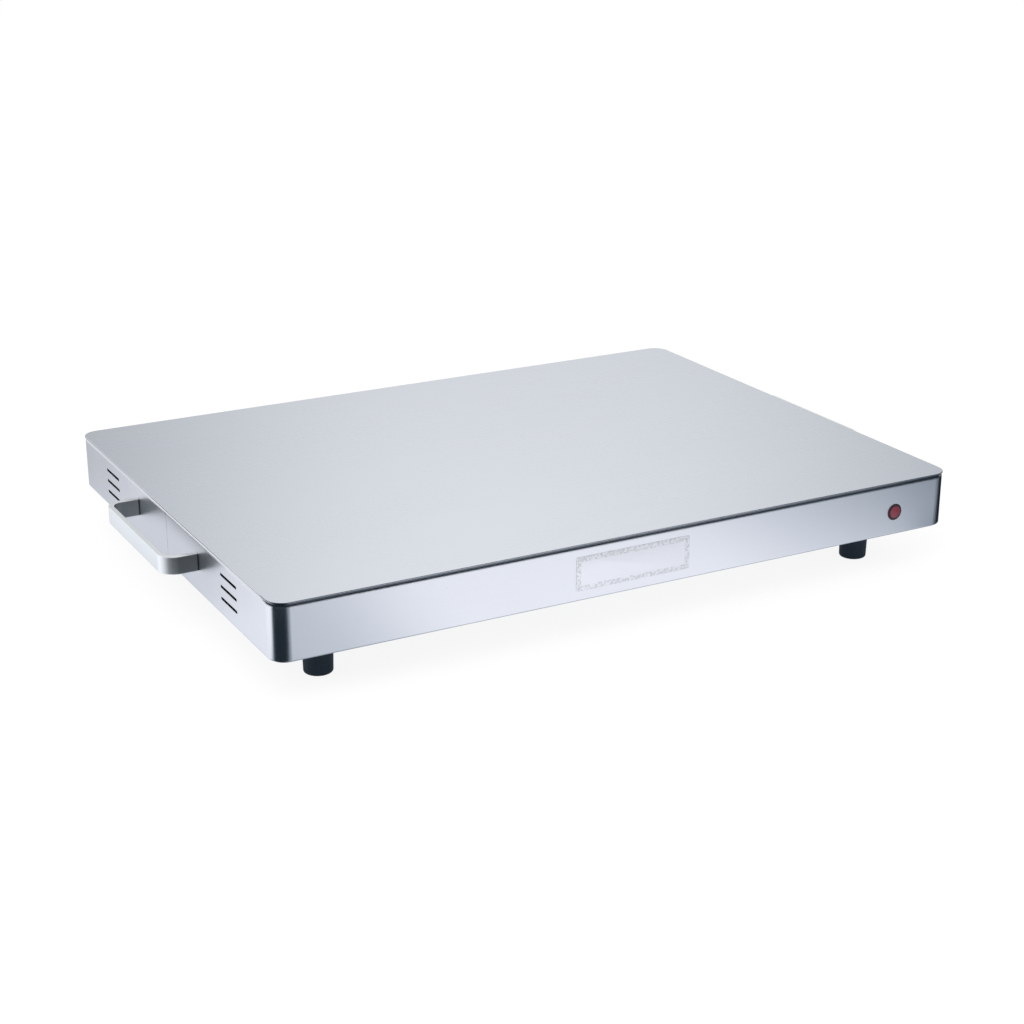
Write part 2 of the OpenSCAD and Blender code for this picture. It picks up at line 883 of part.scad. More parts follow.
module heat_shield() {
  rim_z = spreader_z - shield_rim_gap;
  notch_r = element_d / 2 + notch_gap;
  notch_x = shield_w / 2 - shield_t - overrun;
  depth = shield_t + 2 * overrun;
  inner_w = shield_w - 2 * shield_t;
  inner_d = shield_d - 2 * shield_t;
  low_z = shield_low_z - overrun;
  color("lightgray") difference() {
    rounded_slab(shield_w, shield_d, board_r + shield_fit + shield_t, shield_low_z, rim_z);
    rounded_slab(inner_w, inner_d, board_r + shield_fit, board_z, rim_z + overrun);
    for (y = [-1, 1]) translate([notch_x, y * run_rows[run_count - 1], element_z]) {
      tube_x(notch_r, 0, depth);
      translate([0, -notch_r, 0]) cube([depth, 2 * notch_r, element_d]);
    }
    for (p = stud_places) translate(p) drill(stud_r + hole_gap, low_z, board_z + overrun);
    translate([cutoff_x - clip_ear, cutoff_y, 0]) drill(rivet_r + thread_gap, low_z, board_z + overrun);
    window_cut();
  }
}

module shield_screws() {
  color("silver") for (p = stud_places) translate([p[0], p[1], shield_low_z])
    screw_up(stud_r, shield_screw_l, pan_head_r, pan_head_h);
}

// Thermostat and thermal cut-off

module thermostat() {
  low_z = bracket_z + bracket_t;
  color("saddlebrown") translate([thermostat_x, 0, 0]) {
    drill(cup_r, spreader_z - cup_h, spreader_z);
    drill(thermostat_flange_r, low_z, spreader_z - cup_h);
    drill(thermostat_body_r, low_z - thermostat_body_h, low_z);
    for (x = [-1, 1])
      translate([x * tab_spread - tab_t / 2, -tab_w / 2, low_z - thermostat_body_h - tab_l])
        cube([tab_t, tab_w, tab_l + tab_t]);
  }
}

module thermostat_bracket() {
  color("silver") translate([thermostat_x, 0, 0]) difference() {
    rounded_slab(bracket_l, bracket_w, bracket_r, bracket_z, bracket_z + bracket_t);
    drill(thermostat_body_r + slip_gap, bracket_z - overrun, bracket_z + bracket_t + overrun);
    for (x = [-1, 1]) translate([x * bracket_hole, 0, 0])
      drill(stud_r + hole_gap, bracket_z - overrun, bracket_z + bracket_t + overrun);
  }
}

module bracket_nuts() {
  color("silver") for (p = bracket_places) translate([p[0], p[1], bracket_z - nut_h])
    hex_nut(nut_af, nut_h, stud_r + thread_gap);
}

module thermal_cutoff() {
  color("white") translate([cutoff_x, cutoff_y, cutoff_z]) {
    tube_y(cutoff_r, -cutoff_l / 2, cutoff_l / 2);
    tube_y(cutoff_lead_r, -cutoff_l / 2 - cutoff_lead_l, cutoff_l / 2 + cutoff_lead_l);
  }
}

// A strap bent round the cut-off, with an ear against the shield's underside
module cutoff_clip() {
  outer_r = cutoff_r + thread_gap + clip_t;
  ear_x = clip_ear + rivet_head_r + clip_t;
  color("silver") translate([cutoff_x, cutoff_y - clip_w / 2, cutoff_z]) difference() {
    along_y(clip_w) difference() {
      union() {
        circle(outer_r);
        translate([-outer_r, 0]) square([2 * outer_r, cutoff_r]);
        translate([-ear_x, cutoff_r - clip_t]) square([ear_x, clip_t]);
      }
      circle(cutoff_r + thread_gap);
      translate([-cutoff_r - thread_gap, 0]) square([2 * (cutoff_r + thread_gap), cutoff_r + overrun]);
      translate([-ear_x, cutoff_r]) square([2 * ear_x, cutoff_r]);
    }
    translate([-clip_ear, clip_w / 2, 0]) drill(rivet_r + thread_gap, 0, cutoff_r + overrun);
  }
}

module cutoff_rivet() {
  color("silver") translate([cutoff_x - clip_ear, cutoff_y, 0]) {
    drill(rivet_r, shield_low_z - clip_t, board_z);
    drill(rivet_head_r, shield_low_z - clip_t - rivet_head_h, shield_low_z - clip_t);
    drill(rivet_head_r, board_z, board_z + rivet_head_h);
  }
}

// Terminal block and earth point

module terminal_block() {
  color("ivory") translate([block_x, block_y, field_z]) difference() {
    union() {
      translate([-block_w / 2, -block_d / 2, 0]) cube([block_w, block_d, slab_h]);
      for (i = [-1:1])
        translate([i * pole_pitch - pole_w / 2, -block_d / 2, 0]) cube([pole_w, block_d, block_h]);
    }
    for (i = [-1:1]) translate([i * pole_pitch, 0, pole_rise]) {
      tube_y(pole_r + thread_gap, -block_d / 2 - overrun, block_d / 2 + overrun);
      for (y = [-1, 1]) translate([0, y * clamp_screw_y, 0])
        drill(clamp_screw_r + hole_gap, 0, block_h);
    }
    for (x = [-1, 1]) translate([x * pole_pitch / 2, 0, 0])
      drill(block_screw_r + hole_gap, -overrun, slab_h + overrun);
  }
}

module block_inserts() {
  color("goldenrod") for (i = [-1:1])
    translate([block_x + i * pole_pitch, block_y, pole_z]) difference() {
      tube_y(pole_r, -pole_l / 2, pole_l / 2);
      tube_y(pole_bore_r, -pole_l / 2 - overrun, pole_l / 2 + overrun);
      for (y = [-1, 1]) translate([0, y * clamp_screw_y, 0])
        drill(clamp_screw_r + thread_gap, 0, pole_r + overrun);
    }
}

module clamp_screws() {
  color("silver") for (i = [-1:1], y = [-1, 1])
    translate([block_x + i * pole_pitch, block_y + y * clamp_screw_y, pole_z])
      drill(clamp_screw_r, clamp_screw_rise, clamp_screw_rise + clamp_screw_l);
}

module block_screws() {
  color("silver") for (x = [-1, 1])
    translate([block_x + x * pole_pitch / 2, block_y, field_z + slab_h]) {
      drill(block_screw_r, -slab_h - pan_t - tip_l, 0);
      drill(block_screw_head_r, 0, block_screw_head_h);
    }
}

module earth_stud() {
  color("silver") translate([earth_x, earth_y, 0]) drill(stud_r, field_z, field_z + earth_stud_h);
}

module earth_ring() {
  color("silver") translate([earth_x, earth_y, field_z]) {
    difference() {
      union() {
        drill(ring_r, 0, ring_t);
        translate([0, -tongue_w / 2, 0]) cube([tongue_l, tongue_w, ring_t]);
      }
      drill(stud_r + hole_gap, -overrun, ring_t + overrun);
    }
    translate([tongue_l - ring_t, 0, barrel_r]) difference() {
      tube_x(barrel_r, 0, barrel_l);
      tube_x(wire_r + thread_gap, ring_t, barrel_l + overrun);
    }
  }
}

module earth_nut() {
  color("silver") translate([earth_x, earth_y, field_z + ring_t])
    hex_nut(nut_af, nut_h, stud_r + thread_gap);
}

// Indicator lamp

module lamp_body() {
  color("#3a1a20") translate([lamp_x, -half_d, lamp_z]) difference() {
    union() {
      tube_y(lamp_bezel_r, -bezel_t, 0);
      tube_y(lamp_barrel_r, 0, lamp_l);
    }
    tube_y(lamp_bezel_r - bezel_lip, -bezel_t - overrun, -bezel_t + lens_t);
    tube_y(lamp_bore_r, -bezel_t, lamp_l - lamp_back_t);
    for (x = [-1, 1]) translate([x * lamp_pin_x, 0, 0])
      tube_y(lamp_pin_r + thread_gap, 0, lamp_l + overrun);
  }
}

module lamp_lens() {
  lens_r = lamp_bezel_r - bezel_lip - thread_gap;
  dome_r = (lens_r * lens_r + lens_rise * lens_rise) / (2 * lens_rise);
  color("firebrick") translate([lamp_x, -half_d - bezel_t, lamp_z]) {
    tube_y(lens_plug_r, 0, lens_t + lens_plug_l);
    intersection() {
      translate([0, dome_r - lens_rise, 0]) sphere(dome_r, $fn = dome_sides);
      tube_y(lens_r, -lens_rise - overrun, lens_t);
    }
  }
}

module neon_bulb() {
  back = lamp_l - lamp_back_t;
  color("orange") translate([lamp_x, -half_d, lamp_z]) {
    tube_y(bulb_r, back - bulb_l + bulb_r, back);
    translate([0, back - bulb_l + bulb_r, 0]) sphere(bulb_r);
    for (x = [-1, 1]) translate([x * lamp_pin_x, 0, 0])
      tube_y(lamp_pin_r, back - tip_l, lamp_l + lamp_pin_out);
  }
}

module lamp_nut() {
  af = 2 * (lamp_barrel_r + lamp_nut_rim);
  color("silver") translate([lamp_x, -half_d + skirt_t + lamp_nut_h, lamp_z])
    rotate([90, 0, 0]) hex_nut(af, lamp_nut_h, lamp_barrel_r + thread_gap);
}

// Appliance inlet

module inlet_outline(w, h, chamfer) {
  polygon([
    [-w / 2, -h / 2],
    [w / 2, -h / 2],
    [w / 2, h / 2 - chamfer],
    [w / 2 - chamfer, h / 2],
    [-w / 2 + chamfer, h / 2],
    [-w / 2, h / 2 - chamfer]
  ]);
}

// Repeats a child at the three contacts: live, neutral and earth
module at_contacts() {
  for (x = [-1, 1]) translate([x * inlet_pin_x, 0, -inlet_pin_z]) children();
  translate([0, 0, inlet_pin_z]) children();
}

module inlet_housing() {
  socket_w = inlet_body_w - 2 * inlet_wall;
  socket_h = inlet_body_h - 2 * inlet_wall;
  color("#202326") translate([inlet_x, half_d, inlet_z]) difference() {
    union() {
      along_y(inlet_flange_t) rounded_rect(inlet_flange_w, inlet_flange_h, inlet_flange_r);
      translate([0, -inlet_depth, 0]) along_y(inlet_depth)
        inlet_outline(inlet_body_w, inlet_body_h, inlet_chamfer);
    }
    translate([0, inlet_flange_t - socket_depth, 0]) along_y(socket_depth + overrun)
      inlet_outline(socket_w, socket_h, inlet_chamfer - inlet_wall / 2);
    at_contacts() translate([-inlet_pin_w / 2, -inlet_depth - overrun, -inlet_pin_h / 2])
      cube([inlet_pin_w, inlet_depth, inlet_pin_h]);
    for (x = [-1, 1]) translate([x * inlet_screw_span / 2, 0, 0])
      tube_y(inlet_screw_r + hole_gap, -overrun, inlet_flange_t + overrun);
  }
}

module inlet_pins() {
  pin_l = inlet_depth + inlet_flange_t - inlet_pin_set;
  color("silver") translate([inlet_x, inlet_back_y, inlet_z]) at_contacts() {
    translate([-inlet_pin_w / 2, 0, -inlet_pin_h / 2]) cube([inlet_pin_w, pin_l, inlet_pin_h]);
    translate([-tab_t / 2, -tab_l, -inlet_pin_h / 2]) cube([tab_t, tab_l + tab_t, inlet_pin_h]);
  }
}

module inlet_screws() {
  l = inlet_flange_t + skirt_t + inlet_nut_h + tip_l;
  color("silver") for (x = [-1, 1])
    translate([inlet_x + x * inlet_screw_span / 2, half_d + inlet_flange_t, inlet_z]) {
      tube_y(inlet_screw_r, -l, 0);
      tube_y(inlet_head_r, 0, inlet_head_h);
    }
}

module inlet_nuts() {
  color("silver") for (x = [-1, 1])
    translate([inlet_x + x * inlet_screw_span / 2, half_d - skirt_t, inlet_z]) rotate([90, 0, 0])
      hex_nut(inlet_nut_af, inlet_nut_h, inlet_screw_r + thread_gap);
}

// Internal leads: the places where they end

function inlet_tab(x, z) = [inlet_x + x * inlet_pin_x, inlet_tab_y, inlet_z + z * inlet_pin_z];

function pole_mouth(i, side, shift) =
  [block_x + i * pole_pitch + shift * pole_shift, block_y + side * (block_d / 2 - pole_reach), pole_z];

function element_pin_end(side) = [element_end_x + pin_out, side * run_rows[run_count - 1], element_z];

function thermostat_tab(side) =
  [thermostat_x + side * tab_spread, 0, bracket_z + bracket_t - thermostat_body_h - tab_l];

function cutoff_end(side) = [cutoff_x, cutoff_y + side * (cutoff_l / 2 + cutoff_lead_l), cutoff_z];

function lamp_pin(side) = [lamp_x + side * lamp_pin_x, -half_d + lamp_l + lamp_pin_out, lamp_z];

ring_mouth = [earth_x + tongue_l + barrel_l - ring_t, earth_y, barrel_z];

module live_lead() {
  color("saddlebrown") wire(route(inlet_tab(-1, -1), live_steps, pole_mouth(-1, 1, 0)));
}

module neutral_lead() {
  color("royalblue") wire(route(inlet_tab(1, -1), neutral_steps, pole_mouth(1, 1, 0)));
}

module earth_lead() {
  color("yellowgreen") wire(route(inlet_tab(0, 1), earth_steps, ring_mouth));
}

module feed_wire() {
  color("saddlebrown") wire(route(pole_mouth(-1, -1, 0), feed_steps, cutoff_end(1)));
}

module link_wire() {
  color("saddlebrown") wire(route(cutoff_end(-1), link_steps, thermostat_tab(1)));
}

module thermostat_wire() {
  color("firebrick") wire(route(thermostat_tab(-1), thermostat_steps, pole_mouth(0, -1, -1)));
}

module element_live_wire() {
  color("firebrick") wire(route(element_pin_end(-1), element_live_steps, pole_mouth(0, 1, 0)));
}

module element_neutral_wire() {
  color("royalblue") wire(route(element_pin_end(1), element_neutral_steps, pole_mouth(1, -1, 1)));
}

module lamp_wires() {
  color("firebrick") {
    wire(route(lamp_pin(1), lamp_right_steps, pole_mouth(0, -1, 1)));
    wire(route(lamp_pin(-1), lamp_left_steps, pole_mouth(1, -1, -1)));
  }
}

top_plate();
plate_studs();
front_skirt();
rear_skirt();
left_seam_strap();
right_seam_strap();
left_handle();
right_handle();
base_pan();
base_screws();
front_left_foot();
front_right_foot();
rear_left_foot();
rear_right_foot();
foot_inserts();
foot_screws();
foot_nuts();
heat_spreader();
heating_element();
element_bushes();
element_pins();
element_clamps();
standoffs();
insulation_board();
heat_shield();
shield_screws();
thermostat();
thermostat_bracket();
bracket_nuts();
thermal_cutoff();
cutoff_clip();
cutoff_rivet();
terminal_block();
block_inserts();
clamp_screws();
block_screws();
earth_stud();
earth_ring();
earth_nut();
lamp_body();
lamp_lens();
neon_bulb();
lamp_nut();
inlet_housing();
inlet_pins();
inlet_screws();
inlet_nuts();
live_lead();
neutral_lead();
earth_lead();
feed_wire();
link_wire();
thermostat_wire();
element_live_wire();
element_neutral_wire();
lamp_wires();
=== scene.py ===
import json
import math

import bmesh
import bpy
from mathutils import Matrix, Vector


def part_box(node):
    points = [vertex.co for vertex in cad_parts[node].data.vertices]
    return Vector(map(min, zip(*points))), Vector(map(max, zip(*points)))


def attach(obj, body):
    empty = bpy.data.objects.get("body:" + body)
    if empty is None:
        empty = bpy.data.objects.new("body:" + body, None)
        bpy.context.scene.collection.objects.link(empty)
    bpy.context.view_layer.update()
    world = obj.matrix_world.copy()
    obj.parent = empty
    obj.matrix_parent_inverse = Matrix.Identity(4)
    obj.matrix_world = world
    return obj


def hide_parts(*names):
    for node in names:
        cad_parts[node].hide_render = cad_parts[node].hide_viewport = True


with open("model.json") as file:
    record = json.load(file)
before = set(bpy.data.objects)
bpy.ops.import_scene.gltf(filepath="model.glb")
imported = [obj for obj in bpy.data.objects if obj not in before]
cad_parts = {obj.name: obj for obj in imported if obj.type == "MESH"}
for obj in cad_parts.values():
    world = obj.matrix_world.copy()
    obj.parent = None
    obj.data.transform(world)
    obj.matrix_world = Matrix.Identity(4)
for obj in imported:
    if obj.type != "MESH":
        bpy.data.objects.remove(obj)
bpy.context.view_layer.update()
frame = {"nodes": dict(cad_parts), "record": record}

nodes = frame["nodes"]
scene = bpy.context.scene
mm = 0.001
noiseSpan = (0.3, 0.7)                           # the part of a noise's range that is used
print("frame loaded,", len(nodes), "nodes")


# Camera

shot = {
    "eye": (-0.67505, -1.25806, 0.54588),
    "forward": (0.44833, 0.82539, -0.34311),
    "up": (0.16356, 0.30162, 0.93929),
    "lens": 68.867, "sensor": 36,                # millimetres
    "clip": (0.01, 60),
}


def placeCamera():
    forward = Vector(shot["forward"]).normalized()
    right = forward.cross(Vector(shot["up"])).normalized()
    up = right.cross(forward)
    data = bpy.data.cameras.new("trayCamera")
    data.lens = shot["lens"]
    data.sensor_width = shot["sensor"]
    data.clip_start, data.clip_end = shot["clip"]
    camera = bpy.data.objects.new("trayCamera", data)
    turn = Matrix((right, up, -forward)).transposed().to_4x4()
    camera.matrix_world = Matrix.Translation(shot["eye"]) @ turn
    scene.collection.objects.link(camera)
    scene.camera = camera


# Small helpers

def arc(centre, radius, start, end, count):
    # points round a centre, from one angle to another in degrees
    angles = [math.radians(start + (end - start) * k / count) for k in range(count + 1)]
    return [(centre[0] + radius * math.cos(a), centre[1] + radius * math.sin(a)) for a in angles]


def newTree(owner):
    owner.use_nodes = True
    owner.node_tree.nodes.clear()
    return owner.node_tree


def add(tree, kind, **settings):
    node = tree.nodes.new(kind)
    for name, value in settings.items():
        setattr(node, name, value)
    return node


def join(tree, source, target):
    tree.links.new(source, target)


def feed(tree, value, target):
    if isinstance(value, bpy.types.NodeSocket):
        join(tree, value, target)
    else:
        target.default_value = value


def maths(tree, operation, *values):
    node = add(tree, "ShaderNodeMath", operation=operation)
    for place, value in enumerate(values):
        feed(tree, value, node.inputs[place])
    return node.outputs[0]


def ramp(tree, value, low, high, bottom=0.0, top=1.0, kind="SMOOTHSTEP"):
    node = add(tree, "ShaderNodeMapRange", interpolation_type=kind)
    join(tree, value, node.inputs["Value"])
    node.inputs["From Min"].default_value = low
    node.inputs["From Max"].default_value = high
    node.inputs["To Min"].default_value = bottom
    node.inputs["To Max"].default_value = top
    return node.outputs["Result"]


def tint(tree, factor, dark, light):
    node = add(tree, "ShaderNodeMix", data_type="RGBA")
    join(tree, factor, node.inputs["Factor"])
    for name, value in (("A", dark), ("B", light)):
        feed(tree, value if isinstance(value, bpy.types.NodeSocket) else (*value, 1), node.inputs[name])
    return node.outputs["Result"]


def product(tree, first, *others):
    for other in others:
        first = maths(tree, "MULTIPLY", first, other)
    return first


def outsideBox(tree, x, y, box):
    # distance outside a rectangle that lies flat: (low x, high x, low y, high y)
    beyond = []
    for value, low, high in ((x, box[0], box[1]), (y, box[2], box[3])):
        away = maths(tree, "ABSOLUTE", maths(tree, "SUBTRACT", value, (low + high) / 2))
        beyond.append(maths(tree, "MAXIMUM", maths(tree, "SUBTRACT", away, (high - low) / 2), 0.0))
    squares = [maths(tree, "POWER", side, 2.0) for side in beyond]
    return maths(tree, "SQRT", maths(tree, "ADD", *squares))


# The world: even white light for matt pieces, and a soft pattern that only the metal mirrors

studio = {
    "fill": 0.72,                                # on matt pieces
    "glowAt": 30, "glowFrom": 3, "glowTo": 21,   # degrees to the right of straight back
    "base": 0.45, "glow": 0.56, "leftGlow": 0.50,
    "leftFrom": -0.25, "leftTo": 0.18, "leftY": (-0.10, 0.35),
    # by height: a dim band just above the table, and the light overhead
    "skylineFrom": 0.22, "skylineTo": 0.33, "skyline": 0.50, "skylineX": (-0.20, 0.10),
    "crown": 0.70, "crownFrom": 0.62, "crownTo": 0.92,
    # on the camera's side, and to the left of it
    "nearY": (-0.15, 0.15), "nearZ": (0.10, 0.24), "nearKeep": 0.20, "nearLift": 0.16,
    "cornerX": (-0.15, 0.20), "cornerKeep": 0.30, "cornerZ": (0.20, 0.32),
    # tone by brightness, and what is left of a second mirroring
    "cool": (0.93, 0.955, 1.0), "warm": (1.0, 0.995, 1.0), "coolToWarm": (0.4, 1.0),
    "second": (1.2, 1.8), "secondKeep": 0.70,
}


def onceMirrored(tree, path):
    # what the metal mirrors a second time is dim, as it is between a handle and the wall
    return ramp(tree, path.outputs["Glossy Depth"], *studio["second"], 1.0, studio["secondKeep"])


def buildWorld():
    world = bpy.data.worlds.new("studioWorld")
    scene.world = world
    tree = newTree(world)
    path = add(tree, "ShaderNodeLightPath")
    parts = add(tree, "ShaderNodeSeparateXYZ")
    join(tree, add(tree, "ShaderNodeTexCoord").outputs["Generated"], parts.inputs[0])
    x, y, z = parts.outputs
    azimuth = maths(tree, "DEGREES", maths(tree, "ARCTAN2", x, y))
    off = maths(tree, "ABSOLUTE", maths(tree, "SUBTRACT", azimuth, studio["glowAt"]))
    glow = ramp(tree, off, studio["glowFrom"], studio["glowTo"], studio["glow"], 0.0)
    left = product(tree, ramp(tree, x, studio["leftFrom"], studio["leftTo"], studio["leftGlow"], 0.0),
                   ramp(tree, y, *studio["leftY"]))
    low = maths(tree, "ADD", maths(tree, "ADD", glow, left), studio["base"])
    skyline = ramp(tree, z, studio["skylineFrom"], studio["skylineTo"], studio["skyline"], 1.0)
    # the band just above the table is dim, but not for what the left wall's bend mirrors
    low = product(tree, low, maths(tree, "MAXIMUM", skyline, ramp(tree, x, *studio["skylineX"], 1.0, 0.0)))
    overhead = ramp(tree, z, studio["crownFrom"], studio["crownTo"])
    above = maths(tree, "ADD", low, product(tree, overhead, maths(tree, "SUBTRACT", studio["crown"], low)))
    # the near side is dark close to the table and a little brighter higher up
    near = ramp(tree, y, *studio["nearY"], 1.0, 0.0)
    lifted = maths(tree, "MULTIPLY_ADD", near, studio["nearLift"], above)
    dimmed = product(tree, lifted, ramp(tree, z, *studio["nearZ"], studio["nearKeep"], 1.0),
                     maths(tree, "MAXIMUM", ramp(tree, x, *studio["cornerX"], studio["cornerKeep"], 1.0),
                           ramp(tree, z, *studio["cornerZ"])))
    mixed = add(tree, "ShaderNodeMix")
    for name, value in (("Factor", near), ("A", above), ("B", dimmed)):
        join(tree, value, mixed.inputs[name])
    level = product(tree, mixed.outputs["Result"], onceMirrored(tree, path))
    mirror = add(tree, "ShaderNodeBackground")
    warmth = ramp(tree, level, *studio["coolToWarm"])
    join(tree, tint(tree, warmth, studio["cool"], studio["warm"]), mirror.inputs["Color"])
    join(tree, level, mirror.inputs["Strength"])
    fill = add(tree, "ShaderNodeBackground")
    fill.inputs["Color"].default_value = (1, 1, 1, 1)
    fill.inputs["Strength"].default_value = studio["fill"]
    white = add(tree, "ShaderNodeBackground")
    white.inputs["Color"].default_value = (1, 1, 1, 1)
    plain = add(tree, "ShaderNodeMixShader")
    join(tree, path.outputs["Is Glossy Ray"], plain.inputs[0])
    join(tree, fill.outputs[0], plain.inputs[1])
    join(tree, mirror.outputs[0], plain.inputs[2])
    shown = add(tree, "ShaderNodeMixShader")
    bright = maths(tree, "MAXIMUM", path.outputs["Is Camera Ray"], path.outputs["Is Transmission Ray"])
    join(tree, bright, shown.inputs[0])
    join(tree, plain.outputs[0], shown.inputs[1])
    join(tree, white.outputs[0], shown.inputs[2])
    join(tree, shown.outputs[0], add(tree, "ShaderNodeOutputWorld").inputs[0])


# The table: white to the eye with a light shadow, and dark cards beside the tray for the metal to mirror

table = {
    "half": 6.0, "matt": 0.8, "shadow": 0.15, "lift": 0.04,
    "bright": (1.03, 1.045, 1.115), "cast": (1.16, 1.03, 0.94), "dark": 0.006,
    # near left card, then what the left wall mirrors
    "leftCard": (-0.66, -0.20, -0.66, -0.20), "leftSoft": 0.045, "leftLean": 0.15, "leftLine": -0.2,
    "leftEdge": (-0.280, -0.238), "leftFade": (-0.225, -0.10), "leftKeep": 0.64,
    "left": 0.88, "leftOnly": (-0.21, -0.15), "gripFade": (-0.336, -0.354),
    "midFade": (-0.07, 0.05), "midKeep": 0.76, "rearFade": (0.18, 0.44), "rearKeep": 0.67,
    # near right card, and the dark under the tray
    "rightCard": (0.315, 0.62, -0.24, 0.02), "rightSoft": 0.045, "rightFade": (0.12, 0.56), "rightKeep": 0.04,
    "under": (-0.262, 0.262, -0.192, 0.192), "underSoft": 0.03, "underKeep": 0.34,
}


def buildTable():
    mesh = bpy.data.meshes.new("studioTable")
    half = table["half"]
    corners = [(-half, -half, 0), (half, -half, 0), (half, half, 0), (-half, half, 0)]
    mesh.from_pydata(corners, [], [(0, 1, 2, 3)])
    floor = bpy.data.objects.new("studioTable", mesh)
    scene.collection.objects.link(floor)
    material = bpy.data.materials.new("paleTable")
    tree = newTree(material)
    path = add(tree, "ShaderNodeLightPath")
    parts = add(tree, "ShaderNodeSeparateXYZ")
    join(tree, add(tree, "ShaderNodeTexCoord").outputs["Object"], parts.inputs[0])
    x, y = parts.outputs["X"], parts.outputs["Y"]
    matt = add(tree, "ShaderNodeBsdfDiffuse")
    matt.inputs["Color"].default_value = (table["matt"],) * 3 + (1,)
    glow = add(tree, "ShaderNodeEmission")
    glow.inputs["Strength"].default_value = 1 - table["shadow"] + table["lift"]
    paper = add(tree, "ShaderNodeBsdfDiffuse")
    paper.inputs["Color"].default_value = (table["shadow"],) * 3 + (1,)
    white = add(tree, "ShaderNodeAddShader")
    join(tree, glow.outputs[0], white.inputs[0])
    join(tree, paper.outputs[0], white.inputs[1])
    # the near card's right side leans, so that the front wall mirrors it as an upright edge
    lean = maths(tree, "MULTIPLY_ADD", maths(tree, "SUBTRACT", y, table["leftLine"]), table["leftLean"], x)
    offCard = outsideBox(tree, x, y, table["leftCard"])
    nearCard = maths(tree, "MAXIMUM", ramp(tree, offCard, 0.0, table["leftSoft"]),
                     ramp(tree, lean, *table["leftEdge"]))
    grip = ramp(tree, x, *table["gripFade"])
    leftPart = maths(tree, "MAXIMUM", ramp(tree, lean, *table["leftFade"], table["leftKeep"], 1.0),
                     ramp(tree, y, *table["leftOnly"], 0.0, table["left"]))
    level = product(
        tree, nearCard, onceMirrored(tree, path), maths(tree, "MAXIMUM", leftPart, grip),
        ramp(tree, outsideBox(tree, x, y, table["rightCard"]), 0.0, table["rightSoft"]),
        ramp(tree, x, *table["rightFade"], 1.0, table["rightKeep"], "LINEAR"),
        ramp(tree, outsideBox(tree, x, y, table["under"]), 0.0, table["underSoft"], table["underKeep"], 1.0),
    )
    level = maths(tree, "MAXIMUM", level, table["dark"])
    # the front wall's darker parts are cooler, and the left wall's are a plain grey
    middle = maths(tree, "MAXIMUM", ramp(tree, y, *table["midFade"], 1.0, table["midKeep"]), grip)
    plain = product(tree, middle, ramp(tree, y, *table["rearFade"], 1.0, table["rearKeep"]))
    cast = add(tree, "ShaderNodeCombineColor")
    for place, (power, top) in enumerate(zip(table["cast"], table["bright"])):
        join(tree, product(tree, maths(tree, "POWER", level, power), plain, top), cast.inputs[place])
    mirrored = add(tree, "ShaderNodeEmission")
    join(tree, cast.outputs[0], mirrored.inputs["Color"])
    first = add(tree, "ShaderNodeMixShader")
    join(tree, path.outputs["Is Glossy Ray"], first.inputs[0])
    join(tree, matt.outputs[0], first.inputs[1])
    join(tree, mirrored.outputs[0], first.inputs[2])
    second = add(tree, "ShaderNodeMixShader")
    bright = maths(tree, "MAXIMUM", path.outputs["Is Camera Ray"], path.outputs["Is Transmission Ray"])
    join(tree, bright, second.inputs[0])
    join(tree, first.outputs[0], second.inputs[1])
    join(tree, white.outputs[0], second.inputs[2])
    # from below the table is clear, so that the tray's underside can be looked at
    third = add(tree, "ShaderNodeMixShader")
    join(tree, add(tree, "ShaderNodeNewGeometry").outputs["Backfacing"], third.inputs[0])
    join(tree, second.outputs[0], third.inputs[1])
    join(tree, add(tree, "ShaderNodeBsdfTransparent").outputs[0], third.inputs[2])
    join(tree, third.outputs[0], add(tree, "ShaderNodeOutputMaterial").inputs[0])
    mesh.materials.append(material)


# Black felt seen only by the metal: a narrow hood for the bend under the plate, and a low card
# round the near corner

hood = {
    "corner": (-0.27, -0.20), "radius": 0.012, "steps": 8,  # the skirt's near corner
    "section": ((6, 71.8), (6, 75), (3.5, 78), (1, 79)),    # out from the skirt and height, mm
    "right": 0.32, "leftEnd": -0.172,
    "card": (24, 3, 72), "cardFrom": 262, "cardTo": 190,    # out, foot and top in mm, then degrees
    "felt": (0.15, 0.75, 1.35), "tone": 0.014, "fuzz": 400, "fuzzSpread": 0.1,
}


def roundCorner(out, start, end):
    centre = [side + hood["radius"] for side in hood["corner"]]
    return arc(centre, hood["radius"] + out * mm, start, end, hood["steps"])


def hoodLine(out):
    left, front = (side - out * mm for side in hood["corner"])
    return [(hood["right"], front), (0.0, front), *roundCorner(out, 270, 180), (left, hood["leftEnd"])]


